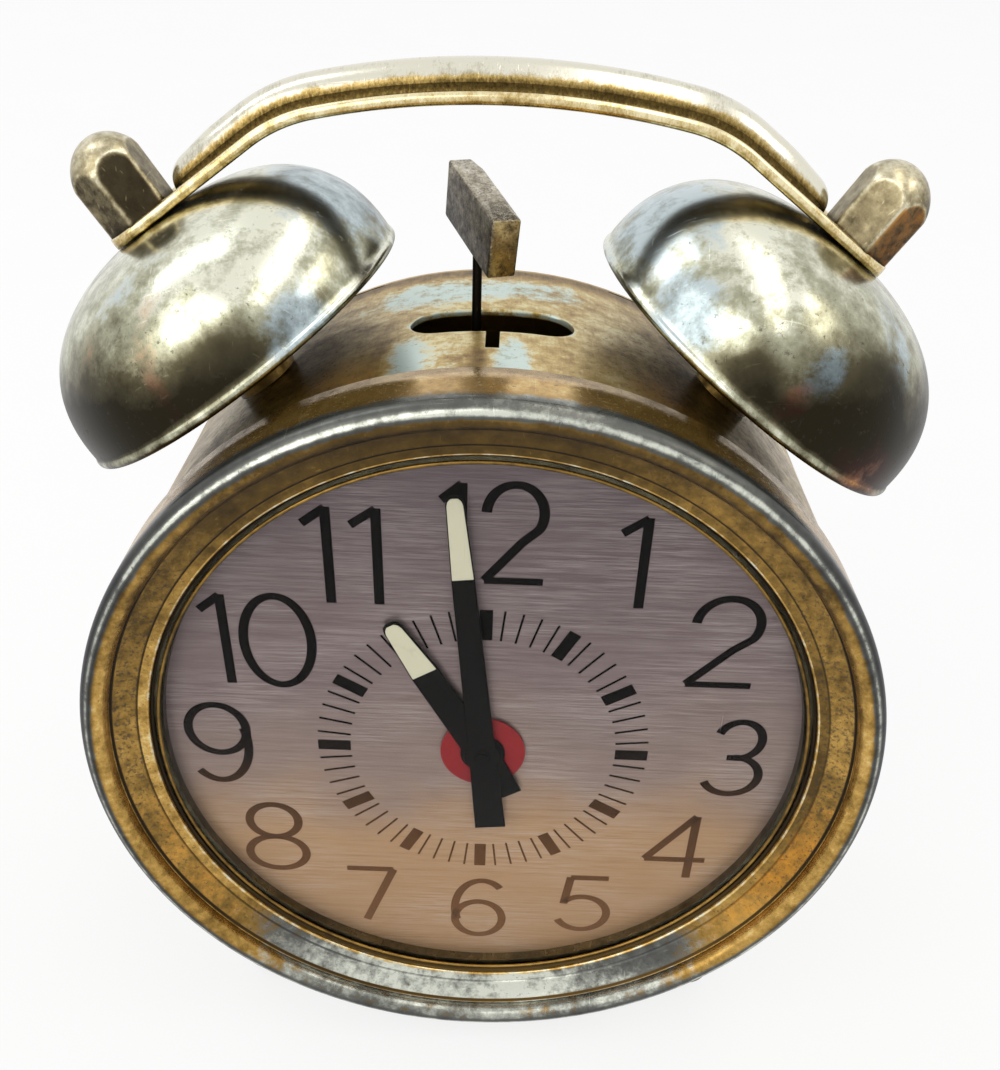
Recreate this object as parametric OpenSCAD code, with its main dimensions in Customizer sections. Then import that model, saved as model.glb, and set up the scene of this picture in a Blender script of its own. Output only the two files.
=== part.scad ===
// Twin bell alarm clock, key wound. Millimetres, +Z up, dial towards -Y.
// Every piece is drawn in the frame of the upright case: the origin is the middle of the dial,
// X runs to the right, Y into the case and Z up. placed() then leans the case back on its legs.

/* [Case] */
// Outer radius of the drum
case_r = 54.1; // [52:0.1:58]
// Thickness of the drum's sheet metal
case_wall = 0.8; // [0.6:0.1:1.2]
// Depth of the drum behind the dial
case_depth = 41; // [40:0.5:48]
// How far the case leans back
lean = 6; // [4:0.5:9]
// How far the bezel's rim stands in front of the dial
bezel_front = 8.5; // [7.5:0.1:10]
// Thickness of the bezel's sheet metal
bezel_wall = 0.7; // [0.5:0.1:0.9]
// Radius of the rolled rim of the bezel
rim_roll = 1.8; // [1.4:0.1:2.2]
// Width of the bezel's dish, from the rolled rim to its inner edge
dish_w = 5; // [4:0.1:7]
// How far the inner edge of the dish stands in front of the dial
dish_front = 3.3; // [3:0.1:3.8]
// Thickness of the crystal
glass_t = 0.9; // [0.7:0.1:1.1]
// Height of the crystal's dome
glass_dome = 3; // [2.8:0.1:4]
// Length of the hammer slot in the top of the drum
slot_l = 20.8; // [19:0.1:24]
// Width of the hammer slot
slot_w = 7.8; // [6:0.1:9]
// Width of the notch in the front edge of the slot
notch_w = 1.7; // [1.2:0.1:3]
// Length of the notch
notch_l = 5.6; // [3:0.5:8]

/* [Bells and handle] */
// Radius of a bell's rim
bell_r = 24.2; // [22:0.1:25]
// Height of a bell
bell_h = 17.2; // [15:0.1:19]
// Thickness of a bell
bell_t = 1.1; // [0.8:0.1:1.4]
// Angle of each bell post from the vertical
bell_dir = 34; // [32:0.5:37]
// Depth of the bells and the hammer behind the dial
bell_y = 22; // [20:0.5:23]
// Gap between the drum and the plane of a bell's rim
bell_gap = 5.3; // [4:0.1:8]
// Roundness of the bell's shoulder, 2 being an ellipse
bell_shape = 2.4; // [2.1:0.05:3]
// Radius of a bell post's column
post_r = 3; // [2.6:0.1:3.6]
// Radius of the threads of posts and legs
thread_r = 2; // [1.6:0.1:2.2]
// Width of the bell nuts across flats
nut_af = 8.6; // [7.5:0.1:10]
// Height of the bell nuts
nut_h = 10; // [9:0.5:13]
// Width of the handle's strip
strip_w = 10; // [9:0.1:12]
// Thickness of the handle's strip
strip_t = 0.9; // [0.7:0.1:1.2]
// Radius of the raised rib along the handle
rib_r = 3; // [2.4:0.1:3.4]
// Radius of the handle's top
arch_r = 111; // [100:1:125]
// Half of the angle that the handle's top turns through
arch_half = 11; // [9:0.5:13]
// Radius of the handle's shoulders
shoulder_r = 20; // [16:0.5:30]

/* [Legs] */
// Angle of each leg from straight down
leg_dir = 35; // [28:1:42]
// Depth of the legs behind the dial
leg_y = 7; // [5.5:0.5:9]
// Radius of the ball at a leg's end
leg_ball = 3.6; // [3:0.1:4.5]
// Depth of the flat that each leg stands on
leg_flat = 0.6; // [0.4:0.1:1]

/* [Hammer] */
// Sideways place of the hammer's rod and arbor
hammer_x = -2.6; // [-3.5:0.1:0]
// Height of the hammer's arbor above the middle of the dial
hammer_z = 30; // [29:0.5:32]
// Radius of the hammer's rod
rod_r = 0.6; // [0.5:0.05:0.8]
// Thickness of the hammer's head
head_t = 3.6; // [3:0.1:4.2]
// Length of the hammer's head, front to back
head_l = 16; // [12:0.5:18]
// Height of the hammer's head
head_h = 6.8; // [5:0.1:8]
// Height of the middle of the head above the middle of the dial
head_z = 65.6; // [64:0.1:67]
// Angle that the head is twisted about the vertical
head_twist = 22; // [0:1:25]
// Angle that the head's front dips
head_dip = 12; // [0:1:15]

/* [Dial and hands] */
// Thickness of the dial plate
dial_t = 0.5; // [0.4:0.1:0.7]
// Gap between the circle of the minute hand's tip and the inner edge of the bezel
minute_gap = 5.5; // [4.5:0.1:8]
// Length of the minute hand's tail
minute_tail = 14; // [10:0.5:16]
// Radius of the hour hand's tip
hour_l = 25.2; // [22:0.1:28]
// Length of the hour hand's tail
hour_tail = 8.8; // [7:0.1:10]
// Radius of the alarm disc
alarm_disc_r = 6.1; // [5:0.1:7]
// Angle of the minute hand from twelve, clockwise
minute_angle = -6; // [-180:1:180]
// Angle of the hour hand from twelve, clockwise
hour_angle = -30.5; // [-180:0.5:180]

/* [Movement] */
// Distance from the dial's face to the front plate
plate_y = 7; // [7:0.1:8]
// Thickness of each plate of the movement
plate_t = 1.2; // [1:0.1:1.5]
// Space between the plates
plate_gap = 20.8; // [20.8:0.1:22]
// Radius of the plates
plate_r = 43.5; // [43:0.5:45]
// Radius of the centre arbor
arbor_r = 0.9; // [0.8:0.05:1]
// Radius of the wheels' pivots
pivot_r = 0.5; // [0.4:0.05:0.6]
// Radius of the two winding arbors
wind_r = 2; // [1.8:0.1:2.2]
// Radius of the pillars
pillar_r = 2.5; // [2.2:0.1:2.7]
// Running clearance of shafts in their holes
run_fit = 0.06; // [0.03:0.01:0.09]
// Backlash of the gears as a share of the tooth pitch
lash = 0.14; // [0.12:0.01:0.2]

/* [Keys and knobs] */
// Half of the width of a key's wings
key_wing = 11; // [9:0.5:12]
// Radius of the setting knobs
knob_r = 4.6; // [4:0.1:5.2]
// Distance from the back cover to the keys and knobs
key_stand = 2.6; // [2:0.1:5]

/* [Hidden] */
$fn = 48;

// Small clearances between pieces that are screwed or pressed together
seat = 0.02;
slip = 0.05;
hole_slip = 0.1;
tiny = 0.01;

// Colours
brass = "#b98d3e";
nickel = "#a9a894";
steel = "#8d8c88";
black = "#26241f";
cream = "#e6e2c0";

// Levels along Y, front to back
drum_front = -1.5;
bezel_r = case_r + hole_slip + bezel_wall;
dish_r = bezel_r - 2 * rim_roll - dish_w;
minute_l = dish_r - minute_gap;
roll_y = -bezel_front + rim_roll;
skirt_back = 2.2;
drum_inner = case_r - case_wall;
glass_front = -dish_front + bezel_wall + slip;
glass_back = glass_front + glass_t;
back_y = plate_y + plate_t + plate_gap;
cover_t = 0.8;
cover_y = case_depth - 2.4;
cover_lip = 0.6;
cover_back = case_depth + slip + cover_lip;
disc_y = -0.55;
hour_y = -1.05;
minute_y = -1.65;
hand_t = 0.3;
lume_t = 0.1;
alarm_wheel_y = 1.3;
hour_wheel_y = 3;
cannon_y = 5;
key_y = cover_back + key_stand;

// Vectors in the plane of the dial, [X, Z]; angles run from +X towards +Z
function at(angle, distance) = distance * [cos(angle), sin(angle)];
function turned_by(p, a) = [p[0] * cos(a) - p[1] * sin(a), p[0] * sin(a) + p[1] * cos(a)];
function unit(v) = v / norm(v);

// Gears: pitch radius, centre distance and tooth outline
going_m = 0.7;
centre_m = 0.5;
third_m = 0.45;
fourth_m = 0.4;
alarm_m = 0.65;
motion_m = 0.5;
great_z = 54;
centre_pinion_z = 9;
centre_z = 64;
third_pinion_z = 8;
third_z = 60;
fourth_pinion_z = 8;
fourth_z = 48;
escape_pinion_z = 6;
cannon_z = 10;
minute_z = 30;
minute_pinion_z = 8;
hour_z = 32;
alarm_z = 56;
alarm_set_z = 16;
alarm_great_z = 48;
alarm_pinion_z = 8;
pressure = 20;
function pitch_r(z, m) = z * m / 2;
function spacing(z1, z2, m) = (z1 + z2) * m / 2;
function involute(a) = tan(a) * 180 / PI - a;
// Half of a tooth's angle at radius r, from the involute of the base circle
function half_tooth(z, m, r) =
    let (base = pitch_r(z, m) * cos(pressure))
    (90 - 180 * lash) / z + involute(pressure) - involute(acos(min(1, base / max(r, base))));
// Small pinions have slim, deep teeth, and wheels short ones
function tooth_radii(z, m) =
    let (p = pitch_r(z, m))
    z < 20 ? [p - 1.25 * m, p - 0.35 * m, p + 0.25 * m, p + 0.8 * m] : [p - 1.1 * m, p + 0.9 * m];
function gear_outline(z, m) =
    let (radii = tooth_radii(z, m), n = len(radii))
    [for (k = [0:z - 1], i = [0:2 * n - 1])
        let (j = i < n ? i : 2 * n - 1 - i, side = i < n ? -1 : 1,
            slim = (z < 20 && j < 2) ? 0.72 : 1)
        at(360 * k / z + side * slim * half_tooth(z, m, radii[j]), radii[j])];

// Places of the arbors
great_dir = 215;
third_dir = 140;
fourth_dir = 110;
escape_dir = 190;
lever_dir = 250;
lever_reach = 8.8;
balance_reach = 9.5;
minute_wheel_dir = 90;
alarm_set_dir = -60;
alarm_escape_dir = 81;
alarm_escape_reach = 19.2;
alarm_dir = -39.7;
centre_at = [0, 0];
great_at = at(great_dir, spacing(great_z, centre_pinion_z, going_m));
third_at = at(third_dir, spacing(centre_z, third_pinion_z, centre_m));
fourth_at = third_at + at(fourth_dir, spacing(third_z, fourth_pinion_z, third_m));
escape_at = fourth_at + at(escape_dir, spacing(fourth_z, escape_pinion_z, fourth_m));
lever_at = escape_at + at(lever_dir, lever_reach);
balance_at = lever_at + at(lever_dir, balance_reach);
minute_wheel_at = at(minute_wheel_dir, spacing(cannon_z, minute_z, motion_m));
alarm_set_at = at(alarm_set_dir, spacing(alarm_z, alarm_set_z, motion_m));
alarm_escape_at = at(alarm_escape_dir, alarm_escape_reach);
alarm_at = alarm_escape_at + at(alarm_dir, spacing(alarm_great_z, alarm_pinion_z, alarm_m));
hammer_at = [hammer_x, hammer_z];
stop_at = [14, 33];
arbor_shoulder = 0.15;

// Pillars: one by each mainspring, whose end loops round it, and two more
great_tip = pitch_r(great_z, going_m) + going_m;
alarm_tip = pitch_r(alarm_great_z, alarm_m) + alarm_m;
time_pillar_at = great_at + at(270, great_tip + pillar_r + 0.5);
alarm_pillar_at = alarm_at + at(20, alarm_tip + pillar_r + 0.5);
top_pillar_at = at(105, plate_r - pillar_r - 1);
foot_pillar_at = at(305, plate_r - pillar_r - 3);
pillars_at = [time_pillar_at, alarm_pillar_at, top_pillar_at, foot_pillar_at];
// Feet of the dial plate, in holes of the front plate
feet_reach = 30;
feet_at = [for (a = [0, 128, 232]) at(a, feet_reach)];

// Bell posts: the rim's plane and the crown along the post, measured from the case's axis
bell_base = case_r + bell_gap;
bell_top = bell_base + bell_h;

// Legs: the ball's centre, found so that legs and back edge stand on one floor
leg_reach = (case_r * cos(lean) + (cover_back - leg_y) * sin(lean) - leg_ball + leg_flat)
    / (cos(leg_dir) * cos(lean));
floor_z = -case_r * cos(lean) - cover_back * sin(lean);
wing_r = 4.6;
alarm_key_turn = 35;
back_end = key_y + 9.4 + wing_r;
front_edge = roll_y * cos(lean) - (bezel_r - rim_roll) * sin(lean) - rim_roll;
rear_edge = (back_end - wing_r) * cos(lean) + wing_r
    + (alarm_at[1] + (key_wing - wing_r) * sin(alarm_key_turn)) * sin(lean);
mid_depth = (front_edge + rear_edge) / 2;

module placed() {
    translate([0, -mid_depth, -floor_z]) rotate([-lean, 0, 0]) children();
}
// Flat pieces drawn in X and Z, from y to y + t
module slab(y, t) {
    for (i = [0:$children - 1])
        translate([0, y + t, 0]) rotate([90, 0, 0]) linear_extrude(t) children(i);
}
// A round bar along Y
module bar(place, r, y0, y1) {
    translate([place[0], y0, place[1]]) rotate([-90, 0, 0]) cylinder(r = r, h = y1 - y0);
}
// Profiles of [radius, Y] turned about the Y axis
module spun() {
    for (i = [0:$children - 1]) rotate([-90, 0, 0]) rotate_extrude($fn = 96) children(i);
}
module moved(place) {
    translate([place[0], 0, place[1]]) children();
}
// The frame of a bell: Z along its post, zero at the rim's plane
module on_post(side) {
    translate([side * bell_base * sin(bell_dir), bell_y, bell_base * cos(bell_dir)])
        rotate([0, side * bell_dir, 0]) children();
}
// The frame of a leg: Z outwards along it, zero at the case's axis
module on_leg(side) {
    translate([0, leg_y, 0]) rotate([0, side * (180 - leg_dir), 0]) children();
}
// A flat arm between two points, with a round end
module link(a, b, width) {
    translate(a) rotate(atan2(b[1] - a[1], b[0] - a[0])) translate([0, -width / 2])
        square([norm(b - a), width]);
    translate(b) circle(r = width / 2);
}
// A gear whose first tooth points along turn
module gear(z, m, y, t, turn = 0) {
    slab(y, t) rotate(turn) polygon(gear_outline(z, m));
}
// A gear that meshes with one at direction dir, seen from that one
module gear_facing(z, m, y, t, dir) {
    gear(z, m, y, t, dir + 180 + 180 / z);
}
function offset_normal(p, i) =
    let (a = p[max(i - 1, 0)], b = p[min(i + 1, len(p) - 1)], d = unit(b - a))
    [-d[1], d[0]];
// The outline of a sheet of thickness t to the left of a path
function sheet(p, t) = concat(p, [for (i = [len(p) - 1:-1:0]) p[i] + t * offset_normal(p, i)]);
function bezier(a, b, c, t) = (1 - t) * (1 - t) * a + 2 * t * (1 - t) * b + t * t * c;

// Case

module case_drum() {
    color(brass) placed() difference() {
        spun() translate([drum_inner, drum_front]) square([case_wall, case_depth - drum_front]);
        translate([-0.5, bell_y - 1.6, case_r - 6]) linear_extrude(12) slot_outline();
        for (side = [-1, 1]) {
            on_post(side) translate([0, 0, -bell_gap - 4]) cylinder(r = thread_r + hole_slip, h = 6);
            on_leg(side) translate([0, 0, drum_inner - 3]) cylinder(r = thread_r + hole_slip, h = 6);
        }
    }
}
module slot_outline() {
    half = (slot_l - slot_w) / 2;
    square([2 * half, slot_w], center = true);
    for (s = [-1, 1]) translate([s * half, 0]) circle(r = slot_w / 2);
    translate([0.15 - notch_w / 2, -slot_w / 2 - notch_l]) square([notch_w, notch_l + 1]);
}

dish_start = [bezel_r - 2 * rim_roll, roll_y];
dish_end = [dish_r, -dish_front];
bezel_path = concat(
    [[bezel_r, skirt_back]],
    [for (a = [0:-20:-180]) [bezel_r - rim_roll + rim_roll * cos(a), roll_y + rim_roll * sin(a)]],
    [for (i = [1:6]) bezier(dish_start, [dish_start[0] - 2.6, dish_end[1] - 0.5], dish_end, i / 6)]);
glass_r = dish_r + 0.6;
collar_r = glass_r + hole_slip;
module bezel() {
    color(brass) placed() spun() {
        polygon(sheet(bezel_path, -bezel_wall));
        translate([collar_r, glass_front - 0.7]) square([bezel_wall, -slip - glass_front + 0.7]);
    }
}
glass_seat = dish_r - 1.1;
glass_path = concat(
    [[glass_r, 0], [glass_seat, 0]],
    [for (i = [9:-1:0]) [glass_seat * i / 10, -glass_dome * (1 - pow(i / 10, 2))]]);
module crystal() {
    color("#dfe8ea", 0.3) placed() spun() translate([0, glass_front]) polygon(concat(
        glass_path, [for (i = [len(glass_path) - 1:-1:0]) glass_path[i] + [0, glass_t]]));
}
module dial_ring() {
    color(black) placed() spun()
        translate([glass_seat, glass_back + slip]) square([glass_r - glass_seat, -glass_back - 2 * slip]);
}
dial_hole = 3;
foot_r = 1.2;
module dial_plate() {
    color("#b59c94") placed() {
        difference() {
            bar([0, 0], drum_inner - hole_slip, 0, dial_t);
            bar([0, 0], dial_hole, -1, dial_t + 1);
        }
        for (p = feet_at) bar(p, foot_r, dial_t, plate_y + plate_t);
    }
}
cover_r = drum_inner - hole_slip;
cover_wall = 0.7;
screw_r = 0.95;
module back_cover() {
    color(brass) placed() difference() {
        spun() {
            translate([0, cover_y]) square([cover_r, cover_t]);
            translate([cover_r - cover_wall, cover_y]) square([cover_wall, cover_back - cover_y]);
            translate([cover_r - cover_wall, case_depth + slip])
                square([case_r - cover_r + cover_wall, cover_lip]);
        }
        for (h = [[centre_at, arbor_r], [alarm_set_at, arbor_r], [great_at, key_shank_r],
                [alarm_at, key_shank_r], [stop_at, stop_r]])
            bar(h[0], h[1] + 0.6, cover_y - 1, cover_y + 2);
        for (p = pillars_at) bar(p, screw_r + 0.2, cover_y - 1, cover_y + 2);
        moved(balance_at) translate([0, cover_y - 1, 0]) rotate([-90, 0, 0])
            rotate([0, 0, -regulator_dir - 26]) rotate_extrude(angle = 52)
            translate([regulator_l - 1.6, 0]) square([3.2, 4]);
    }
}
module back_cover_screws() {
    color(steel) placed() for (p = pillars_at) {
        bar(p, screw_r, cover_y - 4, cover_y + cover_t);
        difference() {
            bar(p, 2.2, cover_y + cover_t, cover_y + cover_t + 1.2);
            translate([p[0] - 3, cover_y + cover_t + 0.7, p[1] - 0.3]) cube([6, 1, 0.6]);
        }
    }
}

// Bells, posts, nuts and handle

function bell_point(a) = [bell_r * pow(cos(a), 2 / bell_shape), bell_h * pow(sin(a), 2 / bell_shape)];
bell_hole = thread_r + hole_slip;
bell_end = acos(pow(bell_hole / bell_r, bell_shape / 2));
bell_path = [for (i = [0:16]) bell_point(bell_end * i / 16)];
module bell(side) {
    color(nickel) placed() on_post(side) rotate_extrude($fn = 96) {
        polygon(sheet(bell_path, bell_t));
        translate([bell_r - bell_t / 2, 0.1]) circle(r = bell_t * 0.68, $fn = 16);
    }
}
module left_bell() { bell(-1); }
module right_bell() { bell(1); }

module hex_prism(af, h) {
    cylinder(r = af / 2 / cos(30), h = h, $fn = 6);
}
module bell_post(side) {
    color(brass) placed() on_post(side) {
        translate([0, 0, -bell_gap - case_wall - 6]) cylinder(r = thread_r, h = 6 + case_wall + slip);
        translate([0, 0, -bell_gap + slip]) cylinder(r = post_r + 1.4, h = 1.4);
        translate([0, 0, -bell_gap + slip]) cylinder(r = post_r, h = bell_gap + bell_h - bell_t - slip - 0.1);
        translate([0, 0, 0]) cylinder(r = thread_r, h = bell_h + strip_t + nut_h * 0.6);
    }
}
module left_bell_post() { bell_post(-1); }
module right_bell_post() { bell_post(1); }

module bell_nut(side) {
    r = nut_af / 2 / cos(30);
    color("#8f8468") placed() on_post(side) translate([0, 0, bell_h + strip_t]) difference() {
        intersection() {
            rotate([0, 0, 30]) hex_prism(nut_af, nut_h + 1);
            rotate_extrude() {
                square([r, nut_h - r]);
                intersection() {
                    translate([0, nut_h - r]) circle(r = r);
                    translate([0, nut_h - r - 1]) square([r, r + 1]);
                }
            }
        }
        translate([0, 0, -1]) cylinder(r = thread_r + slip, h = 1 + nut_h * 0.6 + 0.3);
    }
}
module left_bell_nut() { bell_nut(-1); }
module right_bell_nut() { bell_nut(1); }

// The handle's underside: an arc over the middle, an arc down each shoulder, and flat tabs
// that lie on the bells' crowns. Its height follows from the shoulders meeting the tabs.
shoulder_turn = bell_dir - arch_half;
handle_under = (bell_top - shoulder_r * (1 - cos(shoulder_turn)) - arch_r * sin(arch_half) * sin(bell_dir))
    / cos(bell_dir) + arch_r * (1 - cos(arch_half));
arch_z = handle_under - arch_r;
shoulder_at = [0, arch_z] + (arch_r - shoulder_r) * [sin(arch_half), cos(arch_half)];
shoulder_end = shoulder_at + shoulder_r * [sin(bell_dir), cos(bell_dir)];
run_l = norm(bell_top * [sin(bell_dir), cos(bell_dir)] - shoulder_end);
rib_end = nut_af / 2 / cos(30) + 1.5 + rib_r;
rib_lift = 1;
rib_t = 0.8;
joint_inset = 0.02;
joint_turn = 0.7;
// Section of the strip, X outwards and Y across, drawn smaller all round by inset
module strip_section(inset = 0) {
    half = strip_w / 2 - 0.6;
    outer = rib_r - inset;
    inner = rib_r - rib_t + inset;
    difference() {
        union() {
            translate([inset, -half]) square([strip_t - 2 * inset, 2 * half]);
            for (s = [-1, 1]) translate([strip_t / 2, s * half]) circle(r = 0.6 - inset, $fn = 16);
            translate([rib_lift, 0]) circle(r = outer);
            translate([0, -outer]) square([rib_lift, 2 * outer]);
        }
        translate([rib_lift, 0]) circle(r = inner);
        translate([-5, -inner]) square([5 + rib_lift, 2 * inner]);
        translate([-5, -strip_w]) square([5 + inset, 2 * strip_w]);
    }
}
module arc_strip(centre, r, from, to, inset = 0) {
    translate([centre[0], bell_y, centre[1]]) rotate([90, 0, 0]) rotate([0, 0, from])
        rotate_extrude(angle = to - from, $fn = 180) translate([r, 0]) strip_section(inset);
}
// The shoulders are drawn slightly smaller, so that their ends join inside the other two parts
module handle() {
    from = 90 - bell_dir - joint_turn;
    to = 90 - arch_half + joint_turn;
    color(nickel) placed() {
        arc_strip([0, arch_z], arch_r, 90 - arch_half, 90 + arch_half);
        for (side = [-1, 1]) {
            arc_strip([side * shoulder_at[0], shoulder_at[1]], shoulder_r,
                side > 0 ? from : 180 - to, side > 0 ? to : 180 - from, joint_inset);
            on_post(side) translate([0, 0, bell_h]) handle_tab(side);
        }
    }
}
// The flat end of the handle: the rib runs on and closes in a round nose before the nut
module handle_tab(side) {
    difference() {
        union() {
            mirror([side > 0 ? 0 : 1, 0, 0]) {
                translate([-run_l, 0, 0]) rotate([90, 0, 90]) linear_extrude(run_l - rib_end)
                    rotate(90) strip_section();
                translate([-rib_end - tiny, 0, 0]) linear_extrude(strip_t) {
                    translate([0, -strip_w / 2]) square([rib_end, strip_w]);
                    translate([rib_end, 0]) circle(r = strip_w / 2);
                }
                translate([-rib_end, 0, 0]) intersection() {
                    union() {
                        translate([0, 0, rib_lift]) sphere(r = rib_r);
                        cylinder(r = rib_r, h = rib_lift);
                    }
                    translate([0, -rib_r - 1, 0]) cube([rib_r + 1, 2 * rib_r + 2, 2 * rib_r]);
                }
            }
        }
        translate([0, 0, -1]) cylinder(r = bell_hole, h = 4);
    }
}

// Legs

module leg(side) {
    color(brass) intersection() {
        placed() on_leg(side) rotate_extrude() difference() {
            union() {
                translate([0, case_r - case_wall - 6]) square([thread_r, 6 + case_wall + slip]);
                translate([0, case_r + slip]) square([leg_ball + 0.6, 1.3]);
                translate([0, case_r + slip]) square([thread_r + 0.5, leg_reach - case_r]);
                translate([0, case_r + 2.6]) square([leg_ball - 0.5, 1.4]);
                translate([0, leg_reach]) circle(r = leg_ball);
            }
            translate([-20, 0]) square([20, 2 * case_r]);
        }
        translate([-100, -100, 0]) cube([200, 200, 200]);
    }
}
module left_leg() { leg(-1); }
module right_leg() { leg(1); }

stud_nut_af = 7;
stud_nut_h = 3;
module stud_nut() {
    difference() {
        hex_prism(stud_nut_af, stud_nut_h);
        translate([0, 0, -1]) cylinder(r = thread_r + slip, h = stud_nut_h + 2);
    }
}
module stud_nuts() {
    sag = drum_inner - sqrt(pow(drum_inner, 2) - pow(stud_nut_af / 2 / cos(30), 2));
    color(steel) placed() for (side = [-1, 1]) {
        on_post(side) translate([0, 0, drum_inner - bell_base - sag - slip - stud_nut_h]) stud_nut();
        on_leg(side) translate([0, 0, drum_inner - sag - slip - stud_nut_h]) stud_nut();
    }
}

// Plates and pillars

train_at = [third_at, fourth_at, escape_at, lever_at, balance_at, alarm_escape_at, hammer_at];
tenon_r = 1.5;
hair_y = 26.6;
hair_outer = 5.5;
spring_stud_at = balance_at + at(90, hair_outer + 1);
module plate_holes(y, wind_hole) {
    for (p = train_at) bar(p, pivot_r + run_fit, y - 1, y + plate_t + 2);
    for (p = [centre_at, alarm_set_at]) bar(p, arbor_r + run_fit, y - 1, y + plate_t + 1);
    for (p = [great_at, alarm_at]) bar(p, wind_hole + run_fit, y - 1, y + plate_t + 1);
}
module front_plate() {
    color(brass) placed() {
        difference() {
            bar([0, 0], plate_r, plate_y, plate_y + plate_t);
            plate_holes(plate_y, front_pivot_r);
            for (p = feet_at) bar(p, foot_r + slip, plate_y - 1, plate_y + plate_t + 1);
            for (p = pillars_at) bar(p, tenon_r + seat, plate_y - 1, plate_y + plate_t + 1);
        }
        bar(minute_wheel_at, minute_stud_r, hour_wheel_y - 0.4, plate_y);
    }
}
module back_plate() {
    color(brass) placed() difference() {
        union() {
            bar([0, 0], plate_r, back_y, back_y + plate_t);
            bar(balance_at, 1.2, back_y + plate_t, back_y + plate_t + 1.1);
            bar(spring_stud_at, 0.5, hair_y, back_y + 0.3);
        }
        plate_holes(back_y, rear_wind_r);
        bar(stop_at, stop_r + run_fit, back_y - 1, back_y + plate_t + 1);
        for (p = pillars_at) bar(p, tenon_r + seat, back_y - 1, back_y + plate_t + 1);
    }
}
module pillars() {
    color(steel) placed() for (p = pillars_at) difference() {
        union() {
            bar(p, pillar_r, plate_y + plate_t, back_y);
            bar(p, tenon_r, plate_y, cover_y);
        }
        bar(p, screw_r + slip, cover_y - 5, cover_y + 1);
    }
}
module pillar_nuts() {
    color(steel) placed() for (p = pillars_at) difference() {
        translate([p[0], back_y + plate_t, p[1]]) rotate([-90, 0, 0]) hex_prism(5.5, 2.2);
        bar(p, tenon_r + slip, back_y, back_y + plate_t + 4);
    }
}

// Springs: a strip wound in a spiral, with a straight end and an eye round a pillar or stud

function spiral(r0, r1, turns, steps) =
    [for (i = [0:steps]) at(360 * turns * i / steps, r0 + (r1 - r0) * i / steps)];
module wound_strip(r0, r1, turns, t, y, width, eye_at, eye_r, steps) {
    reach = norm(eye_at);
    tail = sqrt(reach * reach - r1 * r1);
    towards = atan2(eye_at[1], eye_at[0]);
    end_dir = 360 * turns;
    difference() {
        slab(y, width) {
            rotate(towards - atan2(tail, r1) - end_dir) polygon(sheet(spiral(r0, r1, turns, steps), t));
            rotate(towards - atan2(tail, r1)) translate([r1 - t, -t]) square([t, tail + t]);
            translate(eye_at) circle(r = eye_r + t + slip);
        }
        bar(eye_at, eye_r + slip, y - 1, y + width + 1);
    }
}
spring_t = 0.35;
module time_mainspring() {
    color("#5d6066") placed() moved(great_at) wound_strip(wind_r + 0.3 + spring_t, 16, 8, spring_t,
        12.6, 10.8, time_pillar_at - great_at, pillar_r, 8 * 18);
}
module alarm_mainspring() {
    color("#5d6066") placed() moved(alarm_at) wound_strip(wind_r + 0.3 + spring_t, 14, 7, spring_t,
        14.8, 9.2, alarm_pillar_at - alarm_at, pillar_r, 7 * 18);
}
module hairspring() {
    color("#3f5a8a") placed() moved(balance_at) wound_strip(1.5, hair_outer, 5, 0.14,
        hair_y + 0.3, 0.8, spring_stud_at - balance_at, 0.5, 5 * 18);
}
module release_spring() {
    color(steel) placed() {
        slab(plate_y - 2.6, 0.3) polygon([[17.5, -9.6], [15, -13], [3.2, -4.6], [4.4, -2.9]]);
        translate([14, plate_y - 2.6, -12]) cube([2.4, 2.6, 2.4]);
    }
}

// Motion work and hands

cannon_r = 1.35;
hour_tube = [cannon_r + run_fit, 1.95];
alarm_tube = [hour_tube[1] + run_fit, 2.6];
minute_stud_r = 0.8;
back_set_y = key_y + 1;
module minute_arbor() {
    color(steel) placed() bar(centre_at, arbor_r, minute_y - 0.5, back_set_y + 3);
}
module cannon_pinion() {
    color(brass) placed() difference() {
        union() {
            bar(centre_at, cannon_r, minute_y + hand_t, plate_y - slip);
            gear(cannon_z, motion_m, cannon_y, 0.8, minute_wheel_dir);
        }
        bar(centre_at, arbor_r + seat, -4, plate_y + 1);
    }
}
module hand_outline(widths) {
    polygon(concat([for (w = widths) [-w[1], w[0]]],
        [for (i = [len(widths) - 1:-1:0]) [widths[i][1], widths[i][0]]]));
}
minute_lume_from = minute_l - 11.5;
minute_widths = [[-minute_tail, 2.3], [0, 1.9], [minute_lume_from, 1.4], [minute_l, 0.75]];
module minute_hand() {
    color(black) placed() difference() {
        rotate([0, minute_angle, 0]) slab(minute_y, hand_t) {
            hand_outline(minute_widths);
            circle(r = 2.6);
        }
        bar(centre_at, arbor_r + seat, -4, 1);
    }
}
module minute_lume() {
    color(cream) placed() rotate([0, minute_angle, 0]) slab(minute_y - lume_t, lume_t)
        hand_outline([[minute_lume_from, 1.15], [minute_l - 0.6, 0.55]]);
}
hour_lume_from = hour_l - 9.1;
module hour_hand() {
    color(black) placed() difference() {
        rotate([0, hour_angle, 0]) slab(hour_y, hand_t) {
            hand_outline([[-hour_tail, 1.6], [0, 2.3], [hour_lume_from, 2], [hour_l, 1]]);
            circle(r = 3.2);
        }
        bar(centre_at, hour_tube[1] + seat, -4, 1);
    }
}
module hour_lume() {
    color(cream) placed() rotate([0, hour_angle, 0]) slab(hour_y - lume_t, lume_t)
        hand_outline([[hour_lume_from, 1.6], [hour_l - 0.7, 0.7]]);
}
module set_knob() {
    color(brass) placed() knurled_knob(centre_at);
}
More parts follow.
